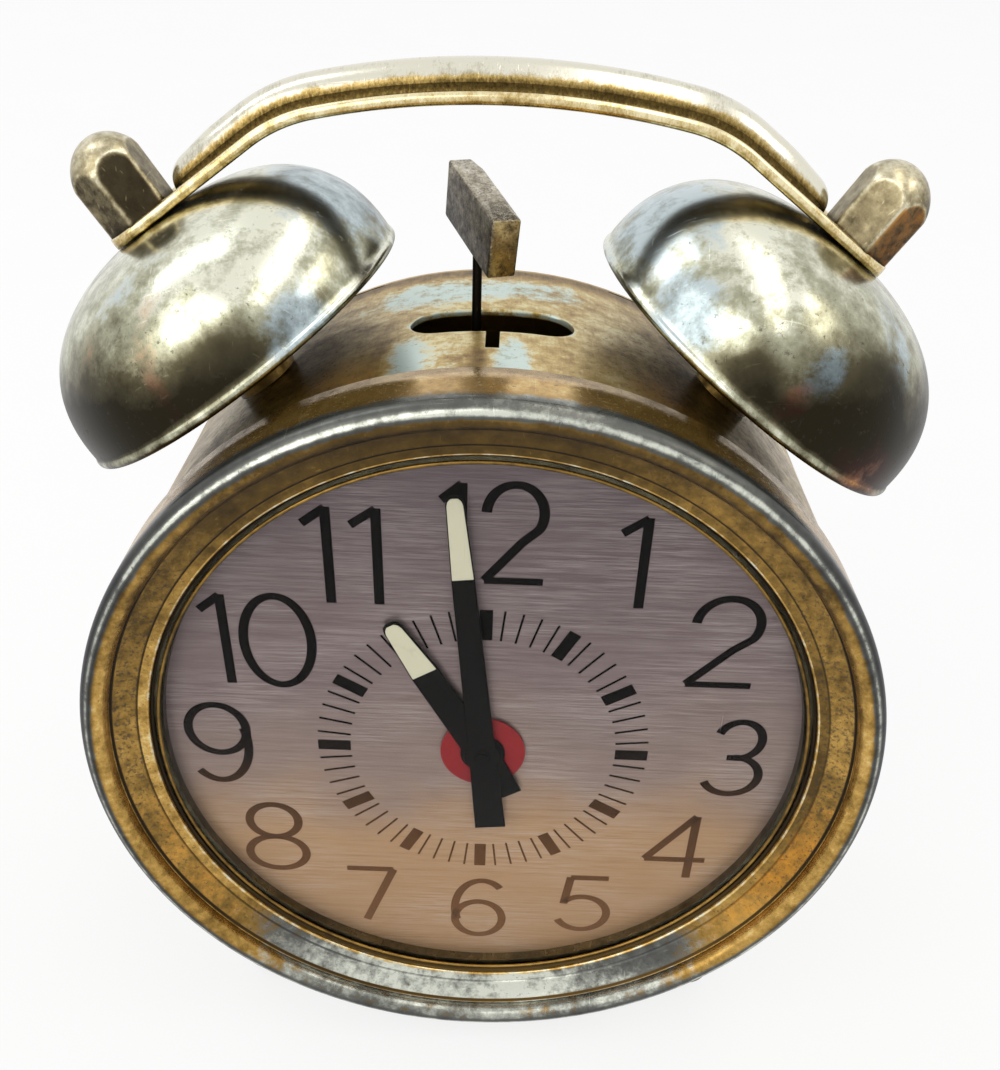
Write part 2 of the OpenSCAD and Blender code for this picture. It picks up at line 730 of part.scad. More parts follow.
module knurled_knob(place) {
    difference() {
        union() {
            moved(place) slab(back_set_y, 4)
                polygon([for (i = [0:47]) at(7.5 * i, knob_r - (i % 2) * 0.3)]);
            bar(place, knob_r * 0.6, key_y, back_set_y);
        }
        bar(place, arbor_r + seat, key_y - 1, back_set_y + 3.1);
    }
}
module minute_wheel() {
    color(brass) placed() moved(minute_wheel_at) difference() {
        union() {
            gear_facing(minute_z, motion_m, cannon_y, 0.8, minute_wheel_dir);
            gear(minute_pinion_z, motion_m, hour_wheel_y - 0.1, cannon_y - hour_wheel_y + 0.2,
                minute_wheel_dir + 180);
        }
        bar([0, 0], minute_stud_r + run_fit, 0, plate_y);
    }
}
module hour_wheel() {
    color(brass) placed() difference() {
        union() {
            gear(hour_z, motion_m, hour_wheel_y, 0.8, minute_wheel_dir + 180 / hour_z);
            bar(centre_at, hour_tube[1], hour_y - slip, hour_wheel_y + 0.8);
        }
        bar(centre_at, hour_tube[0], -4, plate_y);
    }
}
module alarm_wheel() {
    color(brass) placed() difference() {
        union() {
            gear(alarm_z, motion_m, alarm_wheel_y, 0.7, alarm_set_dir);
            bar(centre_at, alarm_tube[1], disc_y - slip, alarm_wheel_y + 0.7);
        }
        bar(centre_at, alarm_tube[0], -4, plate_y);
    }
}
module alarm_disc() {
    color("#b02a2c") placed() slab(disc_y, hand_t) difference() {
        union() {
            circle(r = alarm_disc_r);
            polygon([[-1, 0], [1, 0], [0.2, alarm_disc_r + 1.4], [-0.2, alarm_disc_r + 1.4]]);
        }
        circle(r = alarm_tube[1] + seat);
    }
}
module alarm_set_arbor() {
    color(steel) placed() {
        bar(alarm_set_at, arbor_r, dial_t + 0.3, back_set_y + 3);
        moved(alarm_set_at) gear_facing(alarm_set_z, motion_m, alarm_wheel_y - 0.2, 1.1, alarm_set_dir);
    }
}
module alarm_set_knob() {
    color(brass) placed() knurled_knob(alarm_set_at);
}

// Going train

great_y = 9.2;
great_t = 1.2;
centre_y = 26.6;
third_y = 23.8;
fourth_y = 21.1;
escape_y = 18;
wheel_t = 0.7;
hub_r = 1.6;
staff_r = 0.8;
// A wheel's arbor with its pivots; its pinion is cut to full depth, so the arbor is slim there
module staff(place, r = staff_r) {
    bar(place, r, plate_y + plate_t + arbor_shoulder, back_y - arbor_shoulder);
    bar(place, pivot_r, plate_y, back_y + plate_t);
}
// Round windows that lighten a wheel
module windows(n, ring_r, r, y) {
    for (i = [0:n - 1]) bar(at(360 * i / n + 15, ring_r), r, y - 1, y + 3);
}
module centre_wheel() {
    color(brass) placed() difference() {
        union() {
            bar(centre_at, hub_r, great_y - 0.3, centre_y + wheel_t + 0.4);
            gear(centre_pinion_z, going_m, great_y - 0.2, great_t + 0.5, great_dir);
            gear(centre_z, centre_m, centre_y, wheel_t, third_dir);
        }
        bar(centre_at, arbor_r + run_fit, 0, back_y);
        windows(5, 9, 3.4, centre_y);
    }
}
click_at = at(20, 10.5);
click_stud_r = 0.7;
ratchet_r = 6;
ratchet_z = 18;
ratchet_t = 1;
ratchet_gap = 0.5;
// A great wheel with the stud that its click turns on
module great_wheel(z, m, y, t, turn) {
    difference() {
        union() {
            gear(z, m, y, t, turn);
            bar(click_at, click_stud_r, y + t - tiny, y + t + ratchet_gap + ratchet_t + 0.2);
        }
        bar([0, 0], wind_r + run_fit, y - 1, y + t + 1);
    }
}
module time_great_wheel() {
    color(brass) placed() moved(great_at)
        great_wheel(great_z, going_m, great_y, great_t, great_dir + 180 + 180 / great_z);
}
front_pivot_r = 1.2;
rear_wind_r = 1.5;
module winding_arbor(place) {
    bar(place, front_pivot_r, plate_y, plate_y + plate_t + 1);
    bar(place, wind_r, plate_y + plate_t + arbor_shoulder, back_y - arbor_shoulder);
    bar(place, rear_wind_r, back_y - 1, key_y + 4);
}
module time_arbor() {
    color(steel) placed() winding_arbor(great_at);
}
module ratchet(y) {
    difference() {
        slab(y, ratchet_t) polygon([for (k = [0:ratchet_z - 1], j = [0:1])
            at(360 * k / ratchet_z, ratchet_r - 0.9 * j)]);
        bar([0, 0], wind_r + seat, y - 1, y + 3);
    }
}
time_ratchet_y = great_y + great_t + ratchet_gap;
module time_ratchet() {
    color(steel) placed() moved(great_at) ratchet(time_ratchet_y);
}
key_shank_r = 2.4;
// A winding key: a threaded shank and two rounded wings in one plane
module winding_key(place, turn) {
    moved(place) rotate([0, turn, 0]) difference() {
        union() {
            bar([0, 0], key_shank_r, key_y - 1.2, key_y + 8);
            translate([0, 0, -0.8]) linear_extrude(1.6) {
                for (s = [-1, 1]) translate([s * (key_wing - wing_r), key_y + 9.4]) circle(r = wing_r);
                translate([wing_r - key_wing, key_y + 6]) square([2 * (key_wing - wing_r), 6]);
            }
        }
        bar([0, 0], rear_wind_r + slip, key_y - 2, key_y + 4.3);
    }
}
module time_key() {
    color(brass) placed() winding_key(great_at, 30);
}
// A click: an eye on its stud and a nose that rides just clear of the ratchet's tips
click_nose = ratchet_r + 0.25;
module click(y) {
    slab(y, ratchet_t - 0.1) difference() {
        union() {
            translate(click_at) circle(r = 1.8);
            polygon([click_at + at(105, 1.7), at(55, click_nose + 1.8), at(58, click_nose),
                at(50, click_nose + 0.2), click_at + at(230, 1.7)]);
        }
        translate(click_at) circle(r = click_stud_r + run_fit);
    }
}
module time_click() {
    color(steel) placed() moved(great_at) click(time_ratchet_y + 0.05);
}
module third_wheel() {
    color(brass) placed() {
        staff(third_at);
        moved(third_at) {
            gear_facing(third_pinion_z, centre_m, centre_y - 0.2, wheel_t + 0.4, third_dir);
            difference() {
                gear(third_z, third_m, third_y, wheel_t - 0.1, fourth_dir);
                windows(5, 7.6, 3, third_y);
            }
        }
    }
}
module fourth_wheel() {
    color(brass) placed() {
        staff(fourth_at);
        moved(fourth_at) {
            gear_facing(fourth_pinion_z, third_m, third_y - 0.2, wheel_t + 0.3, fourth_dir);
            difference() {
                gear(fourth_z, fourth_m, fourth_y, wheel_t - 0.1, escape_dir);
                windows(4, 5.6, 2.2, fourth_y);
            }
        }
    }
}
escape_z = 15;
escape_r = 6;
// Pointed teeth that lean forwards
module scape_outline(z, r, depth) {
    polygon([for (k = [0:z - 1], j = [0:2])
        at(360 * (k + [0, 0.12, 0.62][j]) / z, r - [0, 0.15, depth][j])]);
}
module escape_wheel() {
    color(brass) placed() {
        staff(escape_at, 0.55);
        moved(escape_at) {
            gear_facing(escape_pinion_z, fourth_m, fourth_y - 0.2, wheel_t + 0.3, escape_dir);
            slab(escape_y, wheel_t - 0.1) scape_outline(escape_z, escape_r, 1.5);
        }
    }
}
pallet_pin_r = 0.25;
pallet_ring = escape_r + pallet_pin_r + 0.35;
pallet_half = 32;
// The lever: two pin pallets on one side and a fork on the other, in line with the balance
module pallet_lever() {
    color(steel) placed() {
        staff(lever_at, 0.55);
        for (s = [-1, 1])
            bar(escape_at + at(lever_dir + s * pallet_half, pallet_ring), pallet_pin_r,
                escape_y - 0.3, escape_y + 1.6);
        slab(escape_y + 0.9, wheel_t) {
            translate(lever_at) circle(r = 1.3);
            for (s = [-1, 1]) {
                link(lever_at, escape_at + at(lever_dir + s * pallet_half, pallet_ring), 1);
                translate(lever_at) rotate(lever_dir) translate([0, s * 0.55 - 0.25]) square([6.6, 0.5]);
            }
            translate(lever_at) rotate(lever_dir) translate([0, -0.8]) square([5, 1.6]);
        }
    }
}
balance_r = 8.2;
balance_y = 15.5;
balance_t = 1;
impulse_reach = 2.2;
impulse_pin_r = 0.25;
impulse_end = escape_y + wheel_t + 1.9;
module balance_wheel() {
    color(brass) placed() {
        staff(balance_at, 0.55);
        bar(balance_at, 1, hair_y, hair_y + 1.4);
        bar(balance_at + at(lever_dir + 180, impulse_reach), impulse_pin_r,
            balance_y + balance_t, impulse_end);
        slab(balance_y, balance_t) translate(balance_at) {
            difference() {
                circle(r = balance_r);
                circle(r = balance_r - 1.2);
            }
            for (a = [0, 60, 120]) rotate(a + 15)
                square([2 * balance_r - 1.6, 0.9], center = true);
            circle(r = 2.8);
        }
    }
}
regulator_dir = 75;
regulator_l = 13;
regulator_y = back_y + plate_t + 0.2;
module regulator_lever() {
    color(steel) placed() moved(balance_at) difference() {
        union() {
            slab(regulator_y, 0.7) {
                circle(r = 2.8);
                rotate(regulator_dir) translate([0, -0.8]) square([regulator_l + 0.6, 1.6]);
            }
            rotate([0, -regulator_dir, 0]) translate([regulator_l - 0.4, regulator_y, -0.8])
                cube([0.8, cover_y + 4 - regulator_y, 1.6]);
        }
        bar([0, 0], 1.2 + run_fit, back_y, back_y + 8);
    }
}

// Alarm train

alarm_y = 11.6;
alarm_t = 1;
alarm_escape_y = 24.9;
module alarm_great_wheel() {
    color(brass) placed() moved(alarm_at)
        great_wheel(alarm_great_z, alarm_m, alarm_y, alarm_t, alarm_dir + 180);
}
module alarm_arbor() {
    color(steel) placed() winding_arbor(alarm_at);
}
alarm_ratchet_y = alarm_y + alarm_t + ratchet_gap;
module alarm_ratchet() {
    color(steel) placed() moved(alarm_at) ratchet(alarm_ratchet_y);
}
module alarm_key() {
    color(brass) placed() winding_key(alarm_at, -alarm_key_turn);
}
module alarm_click() {
    color(steel) placed() moved(alarm_at) click(alarm_ratchet_y + 0.05);
}
alarm_scape_r = 6;
module alarm_escape_wheel() {
    color(brass) placed() {
        staff(alarm_escape_at);
        moved(alarm_escape_at) {
            gear(alarm_pinion_z, alarm_m, alarm_y - 0.2, alarm_t + 0.4,
                alarm_dir + 180 / alarm_pinion_z);
            slab(alarm_escape_y, wheel_t) scape_outline(12, alarm_scape_r, 1.7);
        }
    }
}

// Hammer

verge_pins = [7.3, 3.2];
verge_dir = atan2(hammer_at[1] - alarm_escape_at[1], hammer_at[0] - alarm_escape_at[0]);
module hammer_arbor() {
    color(steel) placed() {
        staff(hammer_at);
        slab(alarm_escape_y + 1, wheel_t) {
            translate(hammer_at) circle(r = 1.8);
            for (s = [-1, 1])
                link(hammer_at, alarm_escape_at + turned_by([verge_pins[0], s * verge_pins[1]], verge_dir),
                    1.3);
        }
        for (s = [-1, 1])
            bar(alarm_escape_at + turned_by([verge_pins[0], s * verge_pins[1]], verge_dir),
                0.35, alarm_escape_y - 0.2, alarm_escape_y + 1.2);
    }
}
module hammer_arm() {
    color(steel) placed() translate([hammer_at[0], bell_y, hammer_at[1]]) {
        difference() {
            union() {
                translate([0, -1.5, 0]) rotate([-90, 0, 0]) cylinder(r = 1.9, h = 3);
                cylinder(r = rod_r, h = head_z - hammer_z);
            }
            translate([0, -4, 0]) rotate([-90, 0, 0]) cylinder(r = staff_r + seat, h = 8);
        }
        translate([0.4, 0, head_z - hammer_z]) rotate([head_dip, 0, head_twist]) intersection() {
            cube([head_t, head_l, head_h], center = true);
            rotate([0, 0, 12]) translate([head_t * 0.78 - 20, -20, -20]) cube([20, 40, 40]);
        }
    }
}
stop_r = 1.2;
module alarm_stop() {
    color(brass) placed() {
        bar(stop_at, stop_r, back_y - 1.5, cover_back + 4);
        bar(stop_at, 3.4, cover_back + 3.6, cover_back + 6);
        bar(stop_at, stop_r + 0.7, back_y + plate_t + 3.6, back_y + plate_t + 4.4);
    }
}

case_drum();
bezel();
crystal();
dial_ring();
dial_plate();
back_cover();
back_cover_screws();
left_bell();
right_bell();
left_bell_post();
right_bell_post();
left_bell_nut();
right_bell_nut();
handle();
left_leg();
right_leg();
stud_nuts();
front_plate();
back_plate();
pillars();
pillar_nuts();
time_mainspring();
alarm_mainspring();
hairspring();
release_spring();
minute_arbor();
cannon_pinion();
minute_hand();
minute_lume();
set_knob();
minute_wheel();
hour_wheel();
hour_hand();
hour_lume();
alarm_wheel();
alarm_disc();
alarm_set_arbor();
alarm_set_knob();
centre_wheel();
time_great_wheel();
time_arbor();
time_ratchet();
time_key();
time_click();
third_wheel();
fourth_wheel();
escape_wheel();
pallet_lever();
balance_wheel();
regulator_lever();
alarm_great_wheel();
alarm_arbor();
alarm_ratchet();
alarm_key();
alarm_click();
alarm_escape_wheel();
hammer_arbor();
hammer_arm();
alarm_stop();
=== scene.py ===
"""Looks of a twin bell alarm clock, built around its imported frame.

Sizes are in millimetres in the case's own frame: X to the right of the dial, Y into the case
and Z up, with the middle of the dial at the origin. The case leans back on its legs, and
Lean turns its points into the row's frame, in metres.
"""

import logging
import math
from dataclasses import dataclass, field
from enum import Enum
from functools import cache

import bmesh
import bpy
import numpy as np
from mathutils import Matrix


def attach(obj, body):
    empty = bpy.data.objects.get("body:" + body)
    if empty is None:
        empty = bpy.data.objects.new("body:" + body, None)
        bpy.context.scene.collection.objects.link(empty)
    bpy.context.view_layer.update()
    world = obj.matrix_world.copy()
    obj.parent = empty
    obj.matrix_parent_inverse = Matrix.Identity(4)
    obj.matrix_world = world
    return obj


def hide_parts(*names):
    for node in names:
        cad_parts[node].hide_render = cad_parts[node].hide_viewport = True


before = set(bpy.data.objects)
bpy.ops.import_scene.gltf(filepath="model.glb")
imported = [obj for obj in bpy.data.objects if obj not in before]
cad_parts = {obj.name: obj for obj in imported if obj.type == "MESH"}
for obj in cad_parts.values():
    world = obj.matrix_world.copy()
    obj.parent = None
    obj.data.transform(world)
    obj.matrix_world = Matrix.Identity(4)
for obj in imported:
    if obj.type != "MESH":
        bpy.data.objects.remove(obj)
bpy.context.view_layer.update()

LOG = logging.getLogger("clock")
MM = 0.001
FULL_TURN = 2 * math.pi
EDGE_OF_FLAT = math.pi / 6
TINY = 1e-9
SAME = 1e-6
WHITE = (1.0, 1.0, 1.0, 1.0)
# Direction towards the painted light: metal facing it is lightened, metal facing away darkened.
PAINTED_LIGHT_FROM = (-0.1, -0.25, 0.96)
DIAL_FOOT = 0.0135
DIAL_SPAN = 0.0895
Array = np.ndarray


# Frames


@dataclass(frozen=True)
class Lean:
    """Tilt and place of the case on the floor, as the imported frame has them."""

    degrees: float = 6.0
    mid_depth: float = 22.546544
    axis_height: float = 58.157245

    def turn(self, vectors: Array) -> Array:
        """Turns directions of the case's frame into the row's frame.

        The turn is about X: y' = y cos + z sin and z' = z cos - y sin.

        Args:
            vectors: Directions, with X, Y and Z in the last axis.

        Returns:
            The turned directions, in an array of the same shape.
        """
        c = math.cos(math.radians(self.degrees))
        s = math.sin(math.radians(self.degrees))
        x, y, z = vectors[..., 0], vectors[..., 1], vectors[..., 2]
        return np.stack([x, y * c + z * s, z * c - y * s], axis=-1)

    def row(self, points: Array) -> Array:
        """Turns points of the case's frame, in mm, into the row's frame, in metres.

        Args:
            points: Points, with X, Y and Z in the last axis.

        Returns:
            The points in the row's frame.
        """
        moved = self.turn(points) + np.array([0.0, -self.mid_depth, self.axis_height])
        return moved * MM


LEAN = Lean()


@dataclass(frozen=True)
class Axes:
    """A frame inside the case's frame, such as that of a bell on its post."""

    origin: tuple[float, float, float]
    angle: float

    def case(self, points: Array) -> Array:
        """Turns local points about Y by the angle and moves them to the origin.

        Args:
            points: Local points, with X, Y and Z in the last axis.

        Returns:
            The points in the case's frame.
        """
        c, s = math.cos(math.radians(self.angle)), math.sin(math.radians(self.angle))
        x, y, z = points[..., 0], points[..., 1], points[..., 2]
        turned = np.stack([x * c + z * s, y, z * c - x * s], axis=-1)
        return turned + np.array(self.origin)


class Side(Enum):
    """The two sides of the clock, seen from its front."""

    LEFT = -1
    RIGHT = 1

    @property
    def word(self) -> str:
        """The side's name as the nodes of the frame use it."""
        return self.name.lower()


# Surfaces


@dataclass
class Patch:
    """A mesh in the making: points, faces of four corners, and marks that finishes read."""

    points: Array
    quads: Array
    marks: dict[str, Array] = field(default_factory=dict)


def grid(points: Array, loop_rows: bool = False, loop_cols: bool = False, **marks: Array) -> Patch:
    """Joins a grid of points into faces.

    Args:
        points: Points of shape (rows, columns, 3).
        loop_rows: True where the last row joins the first.
        loop_cols: True where the last column joins the first.
        **marks: Numbers for every point, of shape (rows, columns).

    Returns:
        The patch, with one face between each four neighbours.
    """
    rows, cols = points.shape[:2]
    index = np.arange(rows * cols).reshape(rows, cols)
    if loop_rows:
        index = np.concatenate([index, index[:1]], axis=0)
    if loop_cols:
        index = np.concatenate([index, index[:, :1]], axis=1)
    corners = [index[:-1, :-1], index[1:, :-1], index[1:, 1:], index[:-1, 1:]]
    quads = np.stack([corner.ravel() for corner in corners], axis=-1)
    flat = {name: np.broadcast_to(values, (rows, cols)).ravel() for name, values in marks.items()}
    return Patch(points.reshape(-1, 3), quads, flat)


def join(*patches: Patch) -> Patch:
    """Puts patches into one; a mark that a patch lacks is zero on it.

    Args:
        *patches: The patches.

    Returns:
        One patch with all their points, faces and marks.
    """
    offsets = np.cumsum([0] + [len(patch.points) for patch in patches[:-1]])
    points = np.concatenate([patch.points for patch in patches])
    quads = np.concatenate([patch.quads + offset for patch, offset in zip(patches, offsets)])
    marks = {}
    for name in sorted({name for patch in patches for name in patch.marks}):
        values = [patch.marks.get(name, np.zeros(len(patch.points))) for patch in patches]
        marks[name] = np.concatenate(values)
    return Patch(points, quads, marks)


def about_y(radius: Array, angle: Array, depth: Array) -> Array:
    """Points at a clock angle a round the case's Y axis: [r sin a, y, r cos a]."""
    across = radius * np.sin(angle)
    return np.stack([across, depth + 0 * across, radius * np.cos(angle)], axis=-1)


def about_z(radius: Array, angle: Array, height: Array) -> Array:
    """Points at an angle a round the local Z axis: [r cos a, r sin a, h]."""
    across = radius * np.cos(angle)
    return np.stack([across, radius * np.sin(angle), height + 0 * across], axis=-1)


def round_steps(segments: int) -> Array:
    """Angles of even steps all the way round an axis, as a column."""
    return np.linspace(0, FULL_TURN, segments, endpoint=False)[:, None]


def capped(points: Array) -> Array:
    """Closes a tube of points by a pole at the middle of each end row.

    Args:
        points: Points of shape (rows, columns, 3).

    Returns:
        The points with one more row at each end, all of it at that end's middle.
    """
    ends = [np.broadcast_to(points[i].mean(axis=0), points[i].shape)[None] for i in (0, -1)]
    return np.concatenate([ends[0], points, ends[1]], axis=0)


def turned(profile: Array, segments: int = 192) -> Array:
    """Turns a profile [radius, y] about the case's Y axis.

    Args:
        profile: Points [radius, y] of shape (n, 2).
        segments: Steps round the axis.

    Returns:
        Points of shape (segments, n, 3), which join round their rows.
    """
    return about_y(profile[None, :, 0], round_steps(segments), profile[None, :, 1])


def spindle(profile: Array, segments: int = 96) -> Array:
    """Turns a profile [radius, height] about the local Z axis, like turned() about Y."""
    return about_z(profile[None, :, 0], round_steps(segments), profile[None, :, 1])


def arc(centre: tuple[float, float], radius: float, start: float, end: float, steps: int) -> Array:
    """Points on a circle's arc: centre + radius (cos a, sin a), a in degrees."""
    angles = np.radians(np.linspace(start, end, steps))
    return np.array(centre) + radius * np.stack([np.cos(angles), np.sin(angles)], axis=-1)


def bezier(start: Array, middle: Array, end: Array, steps: int) -> Array:
    """A curve of second degree: (1 - t)^2 start + 2 t (1 - t) middle + t^2 end.

    Args:
        start: The first point, or points of shape (n, 1, 2) for a curve each.
        middle: The point that the curve bends towards.
        end: The last point.
        steps: Points on the curve.

    Returns:
        The points, of shape (steps, 2) or (n, steps, 2).
    """
    t = np.linspace(0, 1, steps)[:, None]
    start, middle, end = np.array(start), np.array(middle), np.array(end)
    return (1 - t) ** 2 * start + 2 * t * (1 - t) * middle + t**2 * end


def rounded(corners: Array, radius: float, steps: int = 5) -> Array:
    """Rounds the corners of a closed outline.

    Each corner becomes a curve of second degree between the points that lie the radius away
    from it on its two edges, with the corner as the curve's middle point.

    Args:
        corners: Corner points of shape (n, 2).
        radius: Distance from a corner to where its rounding starts.
        steps: Points in each rounding.

    Returns:
        Points of shape (n * steps, 2).
    """
    before = np.roll(corners, 1, axis=0) - corners
    after = np.roll(corners, -1, axis=0) - corners
    start = corners + radius * before / np.linalg.norm(before, axis=1, keepdims=True)
    end = corners + radius * after / np.linalg.norm(after, axis=1, keepdims=True)
    return bezier(start[:, None], corners[:, None], end[:, None], steps).reshape(-1, 2)


def inset(outline: Array, distance: float) -> Array:
    """Moves a closed outline inwards along its normals.

    Args:
        outline: Points of shape (n, 2), going round counter-clockwise.
        distance: How far each point moves.

    Returns:
        The moved points.
    """
    along = np.roll(outline, -1, axis=0) - np.roll(outline, 1, axis=0)
    along = along / np.linalg.norm(along, axis=1, keepdims=True)
    return outline + distance * np.stack([-along[:, 1], along[:, 0]], axis=-1)


def block(outline: Array, low: float, high: float, bevel: float) -> Array:
    """A prism with a bevel round both ends.

    The outline is set in by the bevel at both ends and has its full size in between.

    Args:
        outline: Points of shape (n, 2), going round counter-clockwise.
        low: Height of the lower end.
        high: Height of the upper end.
        bevel: Size of the bevel.

    Returns:
        Points of shape (rows, n, 3), closed by poles.
    """
    heights = [low, low + bevel * 0.3, low + bevel, high - bevel, high - bevel * 0.3, high]
    insets = [bevel, bevel * 0.3, 0, 0, bevel * 0.3, bevel]
    rows = [
        np.concatenate([inset(outline, d), np.full((len(outline), 1), h)], axis=1)
        for h, d in zip(heights, insets)
    ]
    return capped(np.stack(rows))


def smooth_step(values: Array, low: float, high: float) -> Array:
    """Goes from 0 at low to 1 at high with level ends: 3 t^2 - 2 t^3."""
    t = np.clip((values - low) / (high - low), 0, 1)
    return t * t * (3 - 2 * t)


def mirrored(half: Array, sign: int = 1) -> Array:
    """Joins half of a section to its mirror image, with the middle point once."""
    return np.concatenate([half, sign * half[..., -2::-1]], axis=-1)


def put_in_scene(name: str, data: bpy.types.ID) -> bpy.types.Object:
    """Makes an object of a mesh, lamp or camera and links it into the scene.

    Args:
        name: The object's name.
        data: The mesh, lamp or camera.

    Returns:
        The object.
    """
    made = bpy.data.objects.new(name, data)
    bpy.context.scene.collection.objects.link(made)
    return made


def stand(made: bpy.types.Object, axes: Array, at: Array) -> None:
    """Gives a lamp or camera its axes, as columns, and its place.

    Args:
        made: The lamp or camera.
        axes: Its own X, Y and Z axes as the columns of a 3 by 3 array.
        at: Its place in the row's frame, in metres.
    """
    pose = np.eye(4)
    pose[:3, :3] = axes
    pose[:3, 3] = at
    made.matrix_world = Matrix(pose.tolist())


class Tint(Enum):
    """What a patch does to a metal, as tarnish or painted light; the value names its mark."""

    # DIM also paints shade and dark reflections, GLOW highlights, COOL the sky's reflection.
    DIM = "dim"
    GLOW = "glow"
    WARM = "warm"
    COOL = "cool"
    PITTED = "pitted"


@dataclass(frozen=True)
class TintPatch:
    """A soft oval patch of tarnish or painted light, placed in a surface's own two coordinates."""

    tint: Tint
    at: tuple[float, float]
    size: tuple[float, float]
    turn: float = 0.0
    strength: float = 1.0

    def spread(self, u: Array, v: Array) -> Array:
        """The stain's strength at each point: strength times exp(-(a^2 + b^2)^1.5).

        Args:
            u: First coordinate of the points.
            v: Second coordinate of the points.

        Returns:
            The strength, where a and b are the distances along and across in sizes.
        """
        c, s = math.cos(math.radians(self.turn)), math.sin(math.radians(self.turn))
        a = ((u - self.at[0]) * c + (v - self.at[1]) * s) / self.size[0]
        b = ((v - self.at[1]) * c - (u - self.at[0]) * s) / self.size[1]
        return self.strength * np.exp(-((a**2 + b**2) ** 1.5))


def tint_patches_of(**groups: tuple) -> tuple[TintPatch, ...]:
    """Makes patches from rows of numbers.

    Args:
        **groups: For each tint, rows of the place, the size, the turn and the strength.

    Returns:
        The patches.
    """
    return tuple(
        TintPatch(Tint(tint), row[:2], row[2:4], *row[4:])
        for tint, rows in groups.items()
        for row in rows
    )


def tinted(tint_patches: tuple[TintPatch, ...], u: Array, v: Array) -> dict[str, Array]:
    """Adds up the patches of each tint, up to 1.

    Args:
        tint_patches: The stains.
        u: First coordinate of the points.
        v: Second coordinate of the points.

    Returns:
        One array for each of the five marks.
    """
    marks = {tint.value: np.zeros(np.broadcast(u, v).shape) for tint in Tint}
    for tint_patch in tint_patches:
        marks[tint_patch.tint.value] = marks[tint_patch.tint.value] + tint_patch.spread(u, v)
    return {name: np.clip(values, 0, 1) for name, values in marks.items()}


# Shader maths


def paint(code: str) -> tuple[float, float, float, float]:
    """Turns a colour code into the linear numbers that shaders use.

    Args:
        code: Red, green and blue, such as "#b98d3e".

    Returns:
        Linear red, green and blue, and 1.
    """
    parts = [int(code[i : i + 2], 16) / 255 for i in (1, 3, 5)]
    linear = [v / 12.92 if v <= 0.04045 else ((v + 0.055) / 1.055) ** 2.4 for v in parts]
    return (linear[0], linear[1], linear[2], 1.0)


class Wire:
    """A node's output that sums, differences and products can be written with."""

    def __init__(self, bench: "Bench", socket: bpy.types.NodeSocket) -> None:
        """Keeps the bench that the socket's node is on, and the socket."""
        self.bench = bench
        self.socket = socket

    def maths(self, operation: str, first: object, second: object) -> "Wire":
        """Adds a Math node.

        Args:
            operation: The node's operation, such as "ADD".
            first: A number or wire.
            second: A number or wire.

        Returns:
            The node's output.
        """
        return self.bench.node("ShaderNodeMath", {"operation": operation}, {0: first, 1: second})

    def __add__(self, other: object) -> "Wire":
        """Sum."""
        return self.maths("ADD", self, other)

    __radd__ = __add__

    def __mul__(self, other: object) -> "Wire":
        """Product."""
        return self.maths("MULTIPLY", self, other)

    __rmul__ = __mul__

    def __sub__(self, other: object) -> "Wire":
        """Difference."""
        return self.maths("SUBTRACT", self, other)

    def __rsub__(self, other: object) -> "Wire":
        """Difference from a number."""
        return self.maths("SUBTRACT", other, self)

    def limited(self) -> "Wire":
        """The value, kept between 0 and 1."""
        settings = {"operation": "ADD", "use_clamp": True}
        return self.bench.node("ShaderNodeMath", settings, {0: self, 1: 0.0})


